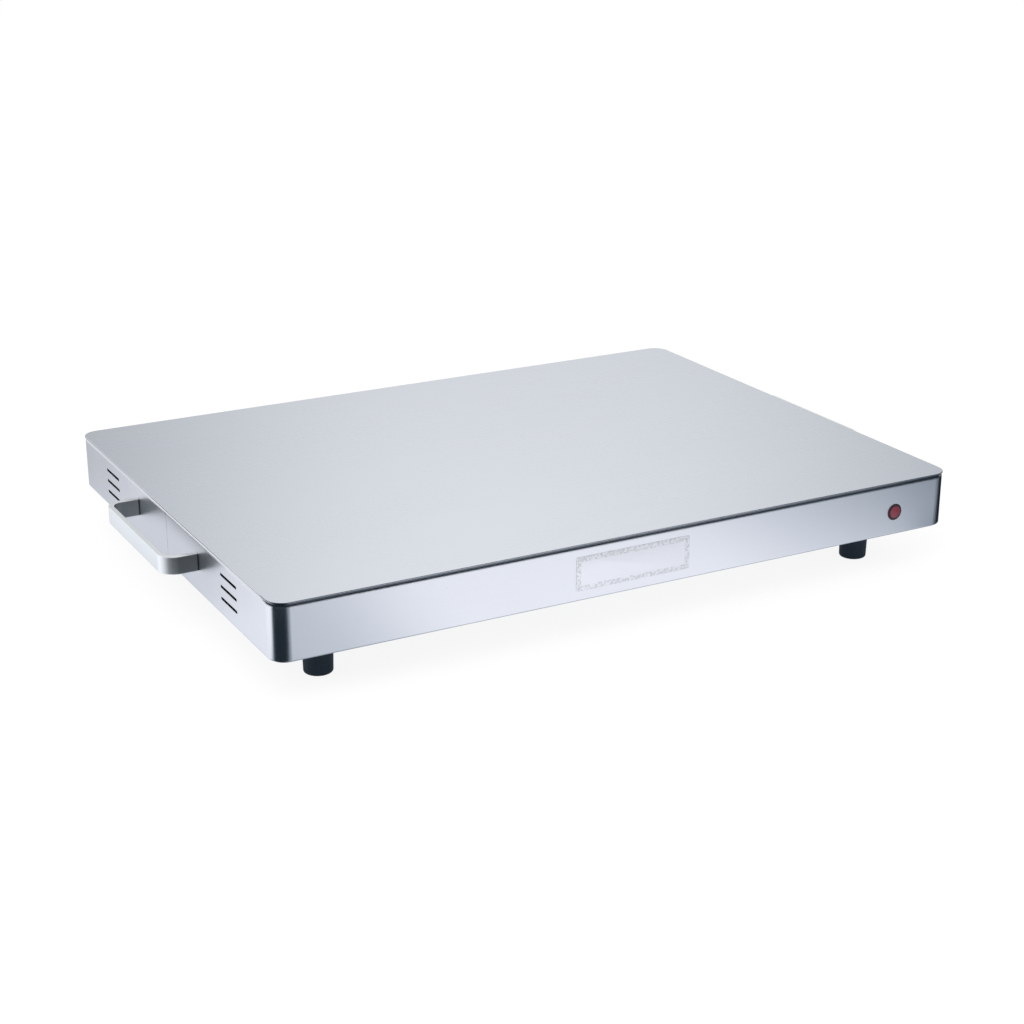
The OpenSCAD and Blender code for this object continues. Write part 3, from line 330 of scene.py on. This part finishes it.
def buildHood():
    mesh = bpy.data.meshes.new("blackHood")
    points, faces = [], []
    out, *heights = hood["card"]
    cardLine = roundCorner(out, hood["cardFrom"], hood["cardTo"])
    strips = [[(hoodLine(away), height) for away, height in hood["section"]],
              [(cardLine, height) for height in heights]]
    for strip in strips:
        for row, (line, height) in enumerate(strip):
            count = len(line)
            below = len(points) - count
            if row:
                faces += [(k, k + 1, k + 1 + count, k + count) for k in range(below, below + count - 1)]
            points += [(x, y, height * mm) for x, y in line]
    mesh.from_pydata(points, [], faces)
    material = bpy.data.materials.new("blackFelt")
    tree = newTree(material)
    felt = add(tree, "ShaderNodeTexNoise")
    felt.inputs["Scale"].default_value = hood["fuzz"]
    join(tree, add(tree, "ShaderNodeTexCoord").outputs["Object"], felt.inputs["Vector"])
    dull = add(tree, "ShaderNodeEmission")
    dull.inputs["Color"].default_value = (*hood["felt"], 1)
    least, most = (hood["tone"] * (1 + sign * hood["fuzzSpread"]) for sign in (-1, 1))
    join(tree, ramp(tree, felt.outputs["Fac"], *noiseSpan, least, most), dull.inputs["Strength"])
    join(tree, dull.outputs[0], add(tree, "ShaderNodeOutputMaterial").inputs[0])
    mesh.materials.append(material)
    flag = bpy.data.objects.new("blackHood", mesh)
    scene.collection.objects.link(flag)
    for kind in ("camera", "diffuse", "transmission", "shadow", "volume_scatter"):
        setattr(flag, "visible_" + kind, False)


softLamp = {"at": (-1.0, -1.2, 1.7), "size": 1.3, "watts": 17}


def placeLamp():
    data = bpy.data.lights.new("softLamp", "AREA")
    data.size = softLamp["size"]
    data.energy = softLamp["watts"]
    lamp = bpy.data.objects.new("softLamp", data)
    lamp.location = softLamp["at"]
    lamp.rotation_euler = Vector(softLamp["at"]).to_track_quat("Z", "Y").to_euler()
    lamp.visible_glossy = False
    scene.collection.objects.link(lamp)


placeCamera()
buildWorld()
buildTable()
buildHood()
placeLamp()
scene.view_settings.view_transform = "Standard"
print("camera, world, table and lamp")


# Finishes

def shaderFor(tree, **values):
    shader = add(tree, "ShaderNodeBsdfPrincipled")
    for name, value in values.items():
        shader.inputs[name.replace("_", " ")].default_value = value
    join(tree, shader.outputs[0], add(tree, "ShaderNodeOutputMaterial").inputs[0])
    return shader


def placeOn(tree, stretch=(1, 1, 1)):
    place = add(tree, "ShaderNodeMapping")
    join(tree, add(tree, "ShaderNodeTexCoord").outputs["Object"], place.inputs["Vector"])
    place.inputs["Scale"].default_value = stretch
    return place.outputs[0]


def grain(tree, scale, stretch=(1, 1, 1), detail=3.0):
    noise = add(tree, "ShaderNodeTexNoise")
    join(tree, placeOn(tree, stretch), noise.inputs["Vector"])
    noise.inputs["Scale"].default_value = scale
    noise.inputs["Detail"].default_value = detail
    return noise.outputs["Fac"]


def cells(tree, scale, output="Color"):
    # one grey value for each crystal or pebble
    cell = add(tree, "ShaderNodeTexVoronoi")
    join(tree, placeOn(tree), cell.inputs["Vector"])
    cell.inputs["Scale"].default_value = scale
    if output == "Distance":
        return cell.outputs["Distance"]
    parts = add(tree, "ShaderNodeSeparateColor")
    join(tree, cell.outputs["Color"], parts.inputs[0])
    return parts.outputs[0]


def roughen(tree, shader, height, strength, depth):
    bump = add(tree, "ShaderNodeBump")
    bump.inputs["Strength"].default_value = strength
    bump.inputs["Distance"].default_value = depth
    join(tree, height, bump.inputs["Height"])
    join(tree, bump.outputs[0], shader.inputs["Normal"])


def shades(tone, spread):
    return [min(max(c * (1 - spread), 0), 1) for c in tone], [min(c * (1 + spread), 1) for c in tone]


brushing = {
    "cloudScale": 7.0, "cloudStretch": (1, 2.2, 1), "cloudDetail": 2.0, "cloudSpan": (0.35, 0.65),
    "scratchSpan": (0.25, 0.75), "scratchDull": 0.01, "cloudDull": 0.012, "depth": 0.0002,
}


def brushedSteel(name, tone, lines, roughness, smear, smearAlong, spread=0.015, bump=0.05, metal=1.0,
                 edgeShade=None, armShade=None):
    material = bpy.data.materials.new(name)
    tree = newTree(material)
    shader = shaderFor(tree, Metallic=metal, Anisotropic=smear)
    scratches = grain(tree, 1.0, lines)
    clouds = grain(tree, brushing["cloudScale"], brushing["cloudStretch"], brushing["cloudDetail"])
    darker, lighter = shades(tone, spread)
    fine = tint(tree, scratches, darker, lighter)
    colour = tint(tree, ramp(tree, clouds, *brushing["cloudSpan"]), fine, lighter)
    step, drift = brushing["scratchDull"], brushing["cloudDull"]
    rough = maths(
        tree, "ADD", ramp(tree, scratches, *brushing["scratchSpan"], roughness - step, roughness + step),
        ramp(tree, clouds, *noiseSpan, -drift, drift),
    )
    if armShade:
        # painted shade along the arms' side faces, in place of the dark they mirror, and a painted dark line
        # at each root that deepens the shadow in the joint; the top and bottom edges are left out
        parts = add(tree, "ShaderNodeSeparateXYZ")
        join(tree, placeOn(tree), parts.inputs[0])
        along = maths(tree, "ABSOLUTE", parts.outputs["X"])
        armShadeMask = maths(tree, "MAXIMUM", ramp(tree, along, *armShade["arm"], 0.0, armShade["tint"]),
                     ramp(tree, along, *armShade["root"]))
        armShadeMask = product(tree, armShadeMask, ramp(tree, parts.outputs["Z"], *armShade["top"]),
                       ramp(tree, parts.outputs["Z"], *armShade["low"]))
        colour = tint(tree, armShadeMask, colour, armShade["tone"])
    if edgeShade:
        # the lower half of the plate's edge is painted dark, painted shade for the dark line under the
        # plate's rim, and made a little rougher
        parts = add(tree, "ShaderNodeSeparateXYZ")
        join(tree, placeOn(tree), parts.inputs[0])
        face = ramp(tree, parts.outputs["Z"], edgeShade["from"], edgeShade["to"])
        colour = tint(tree, face, edgeShade["tone"], colour)
        rough = maths(tree, "ADD", rough, ramp(tree, face, 0.0, 1.0, edgeShade["dull"], 0.0))
    join(tree, colour, shader.inputs["Base Color"])
    join(tree, rough, shader.inputs["Roughness"])
    roughen(tree, shader, scratches, bump, brushing["depth"])
    along = add(tree, "ShaderNodeCombineXYZ")
    for place, value in enumerate(smearAlong):
        along.inputs[place].default_value = value
    join(tree, along.outputs[0], shader.inputs["Tangent"])
    return material


wander = {"scale": 22.0, "stretch": (1, 1, 1), "detail": 2.0, "fine": 0.6, "broad": 0.4}


def moulded(name, tone, roughness, pattern=None, spread=0.12, bump=0.15, depth=0.0001, scale=900, **values):
    # any finish whose colour and gloss wander a little over a fine texture
    material = bpy.data.materials.new(name)
    tree = newTree(material)
    shader = shaderFor(tree, **values)
    texture = pattern(tree) if pattern else grain(tree, scale)
    broad = grain(tree, wander["scale"], wander["stretch"], wander["detail"])
    mixed = maths(tree, "ADD", product(tree, texture, wander["fine"]), product(tree, broad, wander["broad"]))
    join(tree, tint(tree, ramp(tree, mixed, *noiseSpan), *shades(tone, spread)), shader.inputs["Base Color"])
    join(tree, ramp(tree, mixed, *noiseSpan, *roughness), shader.inputs["Roughness"])
    roughen(tree, shader, texture, bump, depth)
    return material


steel = (0.82, 0.835, 0.865)
plateTone = (0.80, 0.838, 0.895)
# painted shade: the plate's edge is darkened below about 73 mm, standing in for the dark line of shade under
# the plate's rim
paintedEdgeShade = {"from": 72.95 * mm, "to": 73.50 * mm, "tone": (0.30, 0.32, 0.35), "dull": 0.04}
# painted shade: the handle arms' side faces are darkened towards this tone, and more at their roots, in place
# of the dark the arms mirror and the shadow where they meet the wall
paintedArmShade = {
    "arm": (0.2955, 0.2895), "root": (0.2725, 0.2702), "tint": 0.76, "tone": (0.045, 0.052, 0.060),
    "top": (0.0622, 0.0612), "low": (0.0492, 0.0502),
}
finishes = {
    "brushed_steel": brushedSteel("wallSteel", steel, (14, 14, 1500), 0.29, 0.6, (0, 0, 1), 0.03),
    # the handle finish carries painted shade on its arms
    "handle_steel": brushedSteel("handleSteel", (0.94, 0.975, 1.0), (30, 30, 1300), 0.30, 0.4, (0, 0, 1),
                                 metal=0.85, armShade=paintedArmShade),
    "plated_steel": moulded("zincPlate", (0.72, 0.74, 0.76), (0.24, 0.38), bump=0.06, Metallic=1.0),
    "galvanised_sheet": moulded("galvanisedSheet", (0.60, 0.62, 0.64), (0.30, 0.52), lambda t: cells(t, 150),
                                spread=0.07, bump=0.05, Metallic=1.0),
    "aluminised_sheet": moulded("aluminisedSheet", (0.70, 0.71, 0.72), (0.42, 0.55), scale=260, Metallic=1.0),
    "aluminium": moulded("millAluminium", (0.78, 0.79, 0.80), (0.26, 0.40),
                         lambda t: grain(t, 1.0, (8, 900, 900)), spread=0.05, bump=0.08, Metallic=1.0),
    "element_sheath": moulded("heatedSheath", (0.20, 0.17, 0.15), (0.42, 0.62), scale=120, spread=0.3,
                              Metallic=0.8),
    "black_rubber": moulded("footRubber", (0.013, 0.026, 0.042), (0.42, 0.58), scale=1400, bump=0.25),
    "insulation": moulded("millboard", (0.70, 0.64, 0.52), (0.85, 0.98),
                          lambda t: grain(t, 1.0, (160, 700, 700)), bump=0.5, depth=0.0003),
    "white_ceramic": moulded("steatite", (0.84, 0.81, 0.74), (0.32, 0.46), scale=500, spread=0.03,
                             Coat_Weight=0.25),
    "brown_phenolic": moulded("phenolic", (0.13, 0.060, 0.030), (0.28, 0.42), scale=650, spread=0.2),
    "brass": moulded("turnedBrass", (0.78, 0.58, 0.26), (0.22, 0.34), bump=0.05, Metallic=1.0),
    "lamp_dark": moulded("lampBezel", (0.034, 0.008, 0.016), (0.20, 0.34), scale=1600, bump=0.04),
    "lamp_red": moulded("lampLens", (0.205, 0.018, 0.036), (0.10, 0.22), lambda t: cells(t, 1300, "Distance"),
                        spread=0.35, bump=0.10, Coat_Weight=0.6, Coat_Roughness=0.12),
    "neon_glass": moulded("neonGlass", (0.98, 0.93, 0.88), (0.01, 0.05), scale=300, spread=0.02, bump=0.0,
                          Transmission_Weight=1.0, IOR=1.47),
    "inlet_black": moulded("inletPlastic", (0.018, 0.019, 0.021), (0.30, 0.42), scale=2200, bump=0.12),
    "wire_brown": moulded("brownWire", (0.16, 0.065, 0.030), (0.40, 0.52), scale=700),
    "wire_blue": moulded("blueWire", (0.035, 0.12, 0.42), (0.40, 0.52), scale=700),
    "wire_green": moulded("greenWire", (0.16, 0.34, 0.05), (0.40, 0.52), scale=700),
    "wire_red": moulded("redWire", (0.48, 0.035, 0.03), (0.40, 0.52), scale=700),
}
# the plate finish carries painted shade along its lower edge
plateSteel = brushedSteel("plateSteel", plateTone, (10, 1100, 1100), 0.27, 0.55, (0, 1, 0), 0.006, 0.0015,
                          edgeShade=paintedEdgeShade)

slotOf = {row["node"]: row["material_slot"] for row in frame["record"]["subparts"]}
for name, node in nodes.items():
    for place in node.material_slots:
        place.material = finishes[slotOf[name]]
print("finishes on", len(slotOf), "nodes")


# Shapes

shaping = {"mergeGap": 1e-6, "flatAngle": 0.4, "bevelAngle": 50}   # metres, then degrees


def settle(piece, finish=None, sharp=40):
    # turns what the modifiers give into a plain mesh and shades it smooth up to an angle
    bpy.context.view_layer.update()
    graph = bpy.context.evaluated_depsgraph_get()
    done = bpy.data.meshes.new_from_object(piece.evaluated_get(graph), depsgraph=graph)
    piece.modifiers.clear()
    piece.data = done
    done.name = piece.name
    if sharp:
        for face in done.polygons:
            face.use_smooth = True
        done.set_sharp_from_angle(angle=math.radians(sharp))
    if finish:
        done.materials.clear()
        done.materials.append(finish)


def newPiece(name, shape, finish):
    mesh = bpy.data.meshes.new(name)
    shape.to_mesh(mesh)
    shape.free()
    mesh.materials.append(finish)
    piece = bpy.data.objects.new(name, mesh)
    scene.collection.objects.link(piece)
    return piece


def seat(piece, slot, *replaced):
    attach(piece, "root")
    if replaced:
        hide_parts(*replaced)


def mergedCopy(node):
    # a copy of a CAD solid with its triangles merged
    shape = bmesh.new()
    shape.from_mesh(nodes[node].data)
    bmesh.ops.remove_doubles(shape, verts=shape.verts, dist=shaping["mergeGap"])
    return shape


def breakEdges(piece, width, segments):
    bevel = piece.modifiers.new("edges", "BEVEL")
    bevel.width = width
    bevel.segments = segments
    bevel.limit_method = "ANGLE"
    bevel.angle_limit = math.radians(shaping["bevelAngle"])


lampRim = {
    "wall": -200.02 * mm,
    "root": 0.955, "front": 0.87, "reach": 0.75,           # shares of the solid's width and depth
}


def taperRim(shape):
    # draws the lamp's rim in a little towards its front, as a moulded rim is
    low, high = (Vector(c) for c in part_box("lamp_body"))
    middle = (low + high) / 2
    for vert in shape.verts:
        out = (lampRim["wall"] - vert.co.y) / (lampRim["wall"] - low.y)
        if out > 0:
            share = lampRim["root"] + (lampRim["front"] - lampRim["root"]) * out
            vert.co.x = middle.x + (vert.co.x - middle.x) * share
            vert.co.z = middle.z + (vert.co.z - middle.z) * share
            vert.co.y = lampRim["wall"] + (vert.co.y - lampRim["wall"]) * lampRim["reach"]


def eased(name, node, width, segments, finish):
    # a CAD solid with its flats as single faces and its edges broken, as stamped or moulded pieces have
    shape = mergedCopy(node)
    bmesh.ops.dissolve_limit(shape, angle_limit=math.radians(shaping["flatAngle"]), verts=shape.verts,
                             edges=shape.edges)
    if node == "lamp_body":
        taperRim(shape)
    for face in shape.faces:
        face.smooth = True
    piece = newPiece(name, shape, finish or finishes[slotOf[node]])
    breakEdges(piece, width, segments)
    even = piece.modifiers.new("shading", "WEIGHTED_NORMAL")
    even.keep_sharp = True
    settle(piece, sharp=None)
    seat(piece, slotOf[node], node)


def turned(profile, place, steps, closed=False):
    # turns (radius, height) points round the Z axis, then puts the shape in its place
    shape = bmesh.new()
    rings = []
    for radius, height in profile:
        count = steps if radius > 0 else 1
        angles = [2 * math.pi * k / steps for k in range(count)]
        rings.append([shape.verts.new((radius * math.cos(a), radius * math.sin(a), height)) for a in angles])
    pairs = list(zip(rings, rings[1:] + rings[:1])) if closed else list(zip(rings, rings[1:]))
    for low, high in pairs:
        for k in range(steps):
            corners = [low[k % len(low)], low[(k + 1) % len(low)],
                       high[(k + 1) % len(high)], high[k % len(high)]]
            corners = list(dict.fromkeys(corners))
            if len(corners) > 2:
                shape.faces.new(corners)
    bmesh.ops.recalc_face_normals(shape, faces=shape.faces)
    shape.transform(place)
    return shape


# Plate, handles, lamp body and inlet keep their CAD shape, with broken edges

easedPieces = {
    "warmPlate": ("top_plate", 0.35 * mm, 3, plateSteel),
    "leftHandleBar": ("left_handle", 0.80 * mm, 3, None),
    "rightHandleBar": ("right_handle", 0.80 * mm, 3, None),
    "lampBody": ("lamp_body", 0.40 * mm, 3, None),
    "inletShell": ("inlet_housing", 0.45 * mm, 2, None),
    "inletContacts": ("inlet_pins", 0.30 * mm, 2, None),
    "terminalBlock": ("terminal_block", 0.40 * mm, 2, None),
}
for name, (node, width, segments, finish) in easedPieces.items():
    eased(name, node, width, segments, finish)
print("pieces with broken edges:", len(easedPieces))


# Feet

foot = {
    "edge": 1.5 * mm, "edgeSteps": 8,                      # rounding round the lower edge
    "chamfer": 0.4 * mm, "drawIn": 0.02 * mm, "drawFrom": 0.5 * mm,
    "recess": 5.0 * mm, "recessTop": 24.7 * mm,
    "hole": 2.25 * mm,
    "flash": 0.10 * mm, "flashAt": 17.0 * mm, "flashWide": 0.25 * mm,
    "treads": (6.3 * mm, 7.6 * mm), "treadWide": 0.35 * mm, "treadDeep": 0.45 * mm,
    "lowR": 10.1 * mm, "topR": 10.9 * mm, "steps": 96,
}


def footProfile(high):
    low, top, edge, chamfer = foot["lowR"], foot["topR"], foot["edge"], foot["chamfer"]
    line = [(foot["recess"], foot["recessTop"]), (foot["recess"], chamfer), (foot["recess"] + chamfer, 0)]
    for radius in foot["treads"]:
        wide, deep = foot["treadWide"], foot["treadDeep"]
        line += [(radius - wide, 0), (radius - wide / 2, deep), (radius + wide / 2, deep), (radius + wide, 0)]
    line += arc((low - edge, edge), edge, -90, 0, foot["edgeSteps"])

    def side(z):
        return low + (top - low) * (z - edge) / (high - edge)

    at, wide = foot["flashAt"], foot["flashWide"]
    line += [(side(at - wide), at - wide), (side(at) + foot["flash"], at), (side(at + wide), at + wide)]
    line += [(top - foot["drawIn"], high - foot["drawFrom"]), (top - chamfer, high)]
    line += [(foot["hole"], high), (foot["hole"], foot["recessTop"])]
    return line


for corner in ("front_left", "front_right", "rear_left", "rear_right"):
    node = corner + "_foot"
    low, high = (Vector(c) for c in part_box(node))
    middle = (low + high) / 2
    place = Matrix.Translation((middle.x, middle.y, 0))
    shape = turned(footProfile(high.z), place, foot["steps"], closed=True)
    piece = newPiece(corner.title().replace("_", "") + "Foot", shape, finishes["black_rubber"])
    settle(piece, sharp=35)
    seat(piece, "black_rubber", node)
print("feet")


# Lamp lens: a low dome with a moulded diamond pattern

lens = {
    "radius": 4.40 * mm, "rise": 0.4 * mm, "edge": 0.5 * mm, "sunk": 0.3 * mm,
    "plug": 3.7 * mm, "plugDepth": 3.8 * mm,
    "rim": 0.1 * mm, "gap": 0.05 * mm, "rings": 26, "steps": 120,
    "pitch": 1.15 * mm, "relief": 0.13 * mm, "field": 0.93, "fade": 0.4 * mm,   # the diamonds
}


def buildLens():
    low, high = (Vector(c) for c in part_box("lamp_lens"))
    middle = (low + high) / 2
    face = low.y + lens["rise"] + lens["sunk"]     # where the dome starts
    domeR = (lens["radius"] ** 2 + lens["rise"] ** 2) / (2 * lens["rise"])
    profile = [(0, -lens["plugDepth"]), (lens["plug"], -lens["plugDepth"]), (lens["plug"], -lens["edge"]),
               (lens["radius"], -lens["edge"]), (lens["radius"], -lens["rim"])]
    for k in range(lens["rings"] + 1):
        r = lens["radius"] * (1 - k / lens["rings"]) - (lens["gap"] if k < lens["rings"] else 0)
        profile.append((max(r, 0), math.sqrt(domeR ** 2 - r ** 2) - domeR + lens["rise"]))
    shape = turned(profile, Matrix.Identity(4), lens["steps"])
    field = lens["radius"] * lens["field"]
    for vert in shape.verts:
        r = math.hypot(vert.co.x, vert.co.y)
        if vert.co.z >= 0 and r < field:
            u, v = (vert.co.x + vert.co.y) / lens["pitch"], (vert.co.x - vert.co.y) / lens["pitch"]
            cut = abs(math.sin(math.pi * u / 2)) * abs(math.sin(math.pi * v / 2))
            vert.co.z -= lens["relief"] * (1 - cut) * min(1, (field - r) / lens["fade"])
    turn = Matrix.Translation((middle.x, face, middle.z)) @ Matrix.Rotation(math.radians(90), 4, "X")
    shape.transform(turn)
    piece = newPiece("lampLens", shape, finishes["lamp_red"])
    settle(piece, sharp=50)
    seat(piece, "lamp_red", "lamp_lens")


buildLens()
print("lamp lens")


# Screws with a cross recess, one tree for all of them

screw = {
    "segments": 32, "rings": 18, "shankSides": 28,
    "ball": 1.04, "block": 4.0, "across": 1.05,            # shares of the head's radius
    "recessWide": 0.9 * mm, "recessShare": 0.6,            # the cross, its depth a share of the head's
    "seed": 7,
}


def screwTree():
    tree = bpy.data.node_groups.new("crossScrews", "GeometryNodeTree")
    tree.is_modifier = True
    panel = tree.interface
    panel.new_socket("Points", in_out="INPUT", socket_type="NodeSocketGeometry")
    sizes = ("Head radius", "Head height", "Shank radius", "Shank length", "Recess width", "Recess depth")
    for size in sizes:
        panel.new_socket(size, in_out="INPUT", socket_type="NodeSocketFloat")
    panel.new_socket("Turn", in_out="INPUT", socket_type="NodeSocketVector")
    panel.new_socket("Finish", in_out="INPUT", socket_type="NodeSocketMaterial")
    panel.new_socket("Screws", in_out="OUTPUT", socket_type="NodeSocketGeometry")
    given = add(tree, "NodeGroupInput").outputs

    def vector(x, y, z):
        node = add(tree, "ShaderNodeCombineXYZ")
        for place, value in enumerate((x, y, z)):
            feed(tree, value, node.inputs[place])
        return node.outputs[0]

    def moved(mesh, offset=None, scale=None):
        node = add(tree, "GeometryNodeTransform")
        join(tree, mesh, node.inputs["Geometry"])
        if offset:
            join(tree, offset, node.inputs["Translation"])
        if scale:
            join(tree, scale, node.inputs["Scale"])
        return node.outputs[0]

    def block(size, offset):
        node = add(tree, "GeometryNodeMeshCube")
        join(tree, size, node.inputs["Size"])
        return moved(node.outputs["Mesh"], offset)

    radius, height = given["Head radius"], given["Head height"]
    ball = add(tree, "GeometryNodeMeshUVSphere")
    ball.inputs["Segments"].default_value = screw["segments"]
    ball.inputs["Rings"].default_value = screw["rings"]
    join(tree, product(tree, radius, screw["ball"]), ball.inputs["Radius"])
    flat = moved(ball.outputs["Mesh"], None, vector(1.0, 1.0, maths(tree, "DIVIDE", height, radius)))
    wide = product(tree, radius, screw["block"])
    upper = block(vector(wide, wide, height), vector(0.0, 0.0, product(tree, height, 0.5)))
    dome = add(tree, "GeometryNodeMeshBoolean", operation="INTERSECT")
    join(tree, flat, dome.inputs["Mesh 2"])
    join(tree, upper, dome.inputs["Mesh 2"])
    # the cutters are as high as the head, and their feet stand a recess's depth below its top
    recess = maths(tree, "SUBTRACT", product(tree, height, 1.5), given["Recess depth"])
    across = product(tree, radius, screw["across"])
    cross = add(tree, "GeometryNodeMeshBoolean", operation="DIFFERENCE")
    join(tree, dome.outputs["Mesh"], cross.inputs["Mesh 1"])
    for size in ((across, given["Recess width"], height), (given["Recess width"], across, height)):
        join(tree, block(vector(*size), vector(0.0, 0.0, recess)), cross.inputs["Mesh 2"])
    shank = add(tree, "GeometryNodeMeshCylinder")
    shank.inputs["Vertices"].default_value = screw["shankSides"]
    join(tree, given["Shank radius"], shank.inputs["Radius"])
    join(tree, given["Shank length"], shank.inputs["Depth"])
    below = moved(shank.outputs["Mesh"], vector(0.0, 0.0, product(tree, given["Shank length"], -0.5)))
    whole = add(tree, "GeometryNodeJoinGeometry")
    join(tree, cross.outputs["Mesh"], whole.inputs[0])
    join(tree, below, whole.inputs[0])
    spread = add(tree, "GeometryNodeInstanceOnPoints")
    join(tree, given["Points"], spread.inputs["Points"])
    join(tree, whole.outputs[0], spread.inputs["Instance"])
    join(tree, given["Turn"], spread.inputs["Rotation"])
    chance = add(tree, "FunctionNodeRandomValue", data_type="FLOAT")
    chance.inputs["Max"].default_value = math.pi / 2
    chance.inputs["Seed"].default_value = screw["seed"]
    spin = add(tree, "GeometryNodeRotateInstances")
    join(tree, spread.outputs[0], spin.inputs["Instances"])
    join(tree, vector(0.0, 0.0, chance.outputs["Value"]), spin.inputs["Rotation"])
    real = add(tree, "GeometryNodeRealizeInstances")
    join(tree, spin.outputs[0], real.inputs[0])
    dressed = add(tree, "GeometryNodeSetMaterial")
    join(tree, real.outputs[0], dressed.inputs["Geometry"])
    join(tree, given["Finish"], dressed.inputs["Material"])
    join(tree, dressed.outputs[0], add(tree, "NodeGroupOutput").inputs[0])
    return tree


def looseBoxes(node):
    # the lowest and highest corner of each separate solid in a node
    shape = mergedCopy(node)
    seen, boxes = set(), []
    for start in shape.verts:
        if start in seen:
            continue
        island, edge = [], [start]
        seen.add(start)
        while edge:
            vert = edge.pop()
            island.append(vert.co.copy())
            for link in vert.link_edges:
                other = link.other_vert(vert)
                if other not in seen:
                    seen.add(other)
                    edge.append(other)
        boxes.append([Vector(pick(v[k] for v in island) for k in range(3)) for pick in (min, max)])
    shape.free()
    return boxes


# radii and heights in millimetres
screwSets = {
    "panScrews": {"node": "base_screws", "towards": (0, 0, -1), "headR": 3.4, "headH": 1.0, "shankR": 1.7},
    "footScrews": {"node": "foot_screws", "towards": (0, 0, -1), "headR": 3.8, "headH": 2.4, "shankR": 2.0},
    "inletScrews": {"node": "inlet_screws", "towards": (0, 1, 0), "headR": 2.8, "headH": 1.8, "shankR": 1.5},
}


def buildScrews(tree, name, kind):
    axis = Vector(kind["towards"])
    mesh = bpy.data.meshes.new(name)
    places, length = [], 0
    for low, high in looseBoxes(kind["node"]):
        middle, reach = (low + high) / 2, (high - low) / 2
        half = abs(reach.dot(axis))
        places.append(middle + axis * (half - kind["headH"] * mm))
        length = 2 * half - kind["headH"] * mm
    mesh.from_pydata(places, [], [])
    piece = bpy.data.objects.new(name, mesh)
    scene.collection.objects.link(piece)
    sockets = {item.name: item.identifier for item in tree.interface.items_tree if item.in_out == "INPUT"}
    modifier = piece.modifiers.new("screws", "NODES")
    modifier.node_group = tree
    values = {
        "Head radius": kind["headR"] * mm, "Head height": kind["headH"] * mm,
        "Shank radius": kind["shankR"] * mm, "Shank length": length,
        "Recess width": screw["recessWide"], "Recess depth": kind["headH"] * screw["recessShare"] * mm,
        "Turn": tuple(axis.to_track_quat("Z", "Y").to_euler()), "Finish": finishes["plated_steel"],
    }
    for label, value in values.items():
        modifier[sockets[label]] = value
    settle(piece, finishes["plated_steel"], sharp=35)
    seat(piece, "plated_steel", kind["node"])


tree = screwTree()
for name, kind in screwSets.items():
    buildScrews(tree, name, kind)
print("screws")


# A thin bare plate on the front face, where the real tray has its printed one

plaque = {
    "low": (-51.0, 39.9), "high": (40.0, 64.6),    # x and z, in millimetres
    "thick": 0.25, "corner": 1.2, "cornerSteps": 6, "bevel": 0.08, "bevelSteps": 2,
    "border": 4.2, "borderSoft": 0.9,
    "foil": (0.875, 0.895, 0.965), "dull": (0.67, 0.68, 0.73), "metal": 0.25, "rough": (0.30, 0.42),
    "speckScale": 520.0, "speckSpan": (0.40, 0.62), "bump": 0.05, "depth": 0.0001,
}


def plaqueFoil():
    material = bpy.data.materials.new("plaqueFoil")
    tree = newTree(material)
    shader = shaderFor(tree, Metallic=plaque["metal"])
    parts = add(tree, "ShaderNodeSeparateXYZ")
    join(tree, placeOn(tree), parts.inputs[0])
    inset = plaque["border"]
    inner = [(plaque[end][k] + sign * inset) * mm for k in (0, 1) for end, sign in (("low", 1), ("high", -1))]
    beyond = outsideBox(tree, parts.outputs["X"], parts.outputs["Z"], inner)
    edge = ramp(tree, beyond, 0.0, plaque["borderSoft"] * mm)
    specks = ramp(tree, grain(tree, plaque["speckScale"]), *plaque["speckSpan"])
    band = product(tree, edge, specks)
    join(tree, tint(tree, band, plaque["foil"], plaque["dull"]), shader.inputs["Base Color"])
    join(tree, ramp(tree, band, 0.0, 1.0, *plaque["rough"]), shader.inputs["Roughness"])
    roughen(tree, shader, specks, plaque["bump"], plaque["depth"])
    return material


def buildPlaque():
    low, high = plaque["low"], plaque["high"]
    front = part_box("front_skirt")[0][1] / mm
    r, thick = plaque["corner"], plaque["thick"]
    outline = []
    for cx, cz, start in ((high[0] - r, high[1] - r, 0), (low[0] + r, high[1] - r, 90),
                          (low[0] + r, low[1] + r, 180), (high[0] - r, low[1] + r, 270)):
        outline += arc((cx, cz), r, start, start + 90, plaque["cornerSteps"])
    shape = bmesh.new()
    rear = shape.faces.new([shape.verts.new((x * mm, front * mm, z * mm)) for x, z in outline])
    grown = bmesh.ops.extrude_face_region(shape, geom=[rear])
    for item in grown["geom"]:
        if isinstance(item, bmesh.types.BMVert):
            item.co.y -= thick * mm
    bmesh.ops.recalc_face_normals(shape, faces=shape.faces)
    piece = newPiece("barePlaque", shape, plaqueFoil())
    breakEdges(piece, plaque["bevel"] * mm, plaque["bevelSteps"])
    settle(piece)
    seat(piece, "brushed_steel")


buildPlaque()
print("bare plaque")
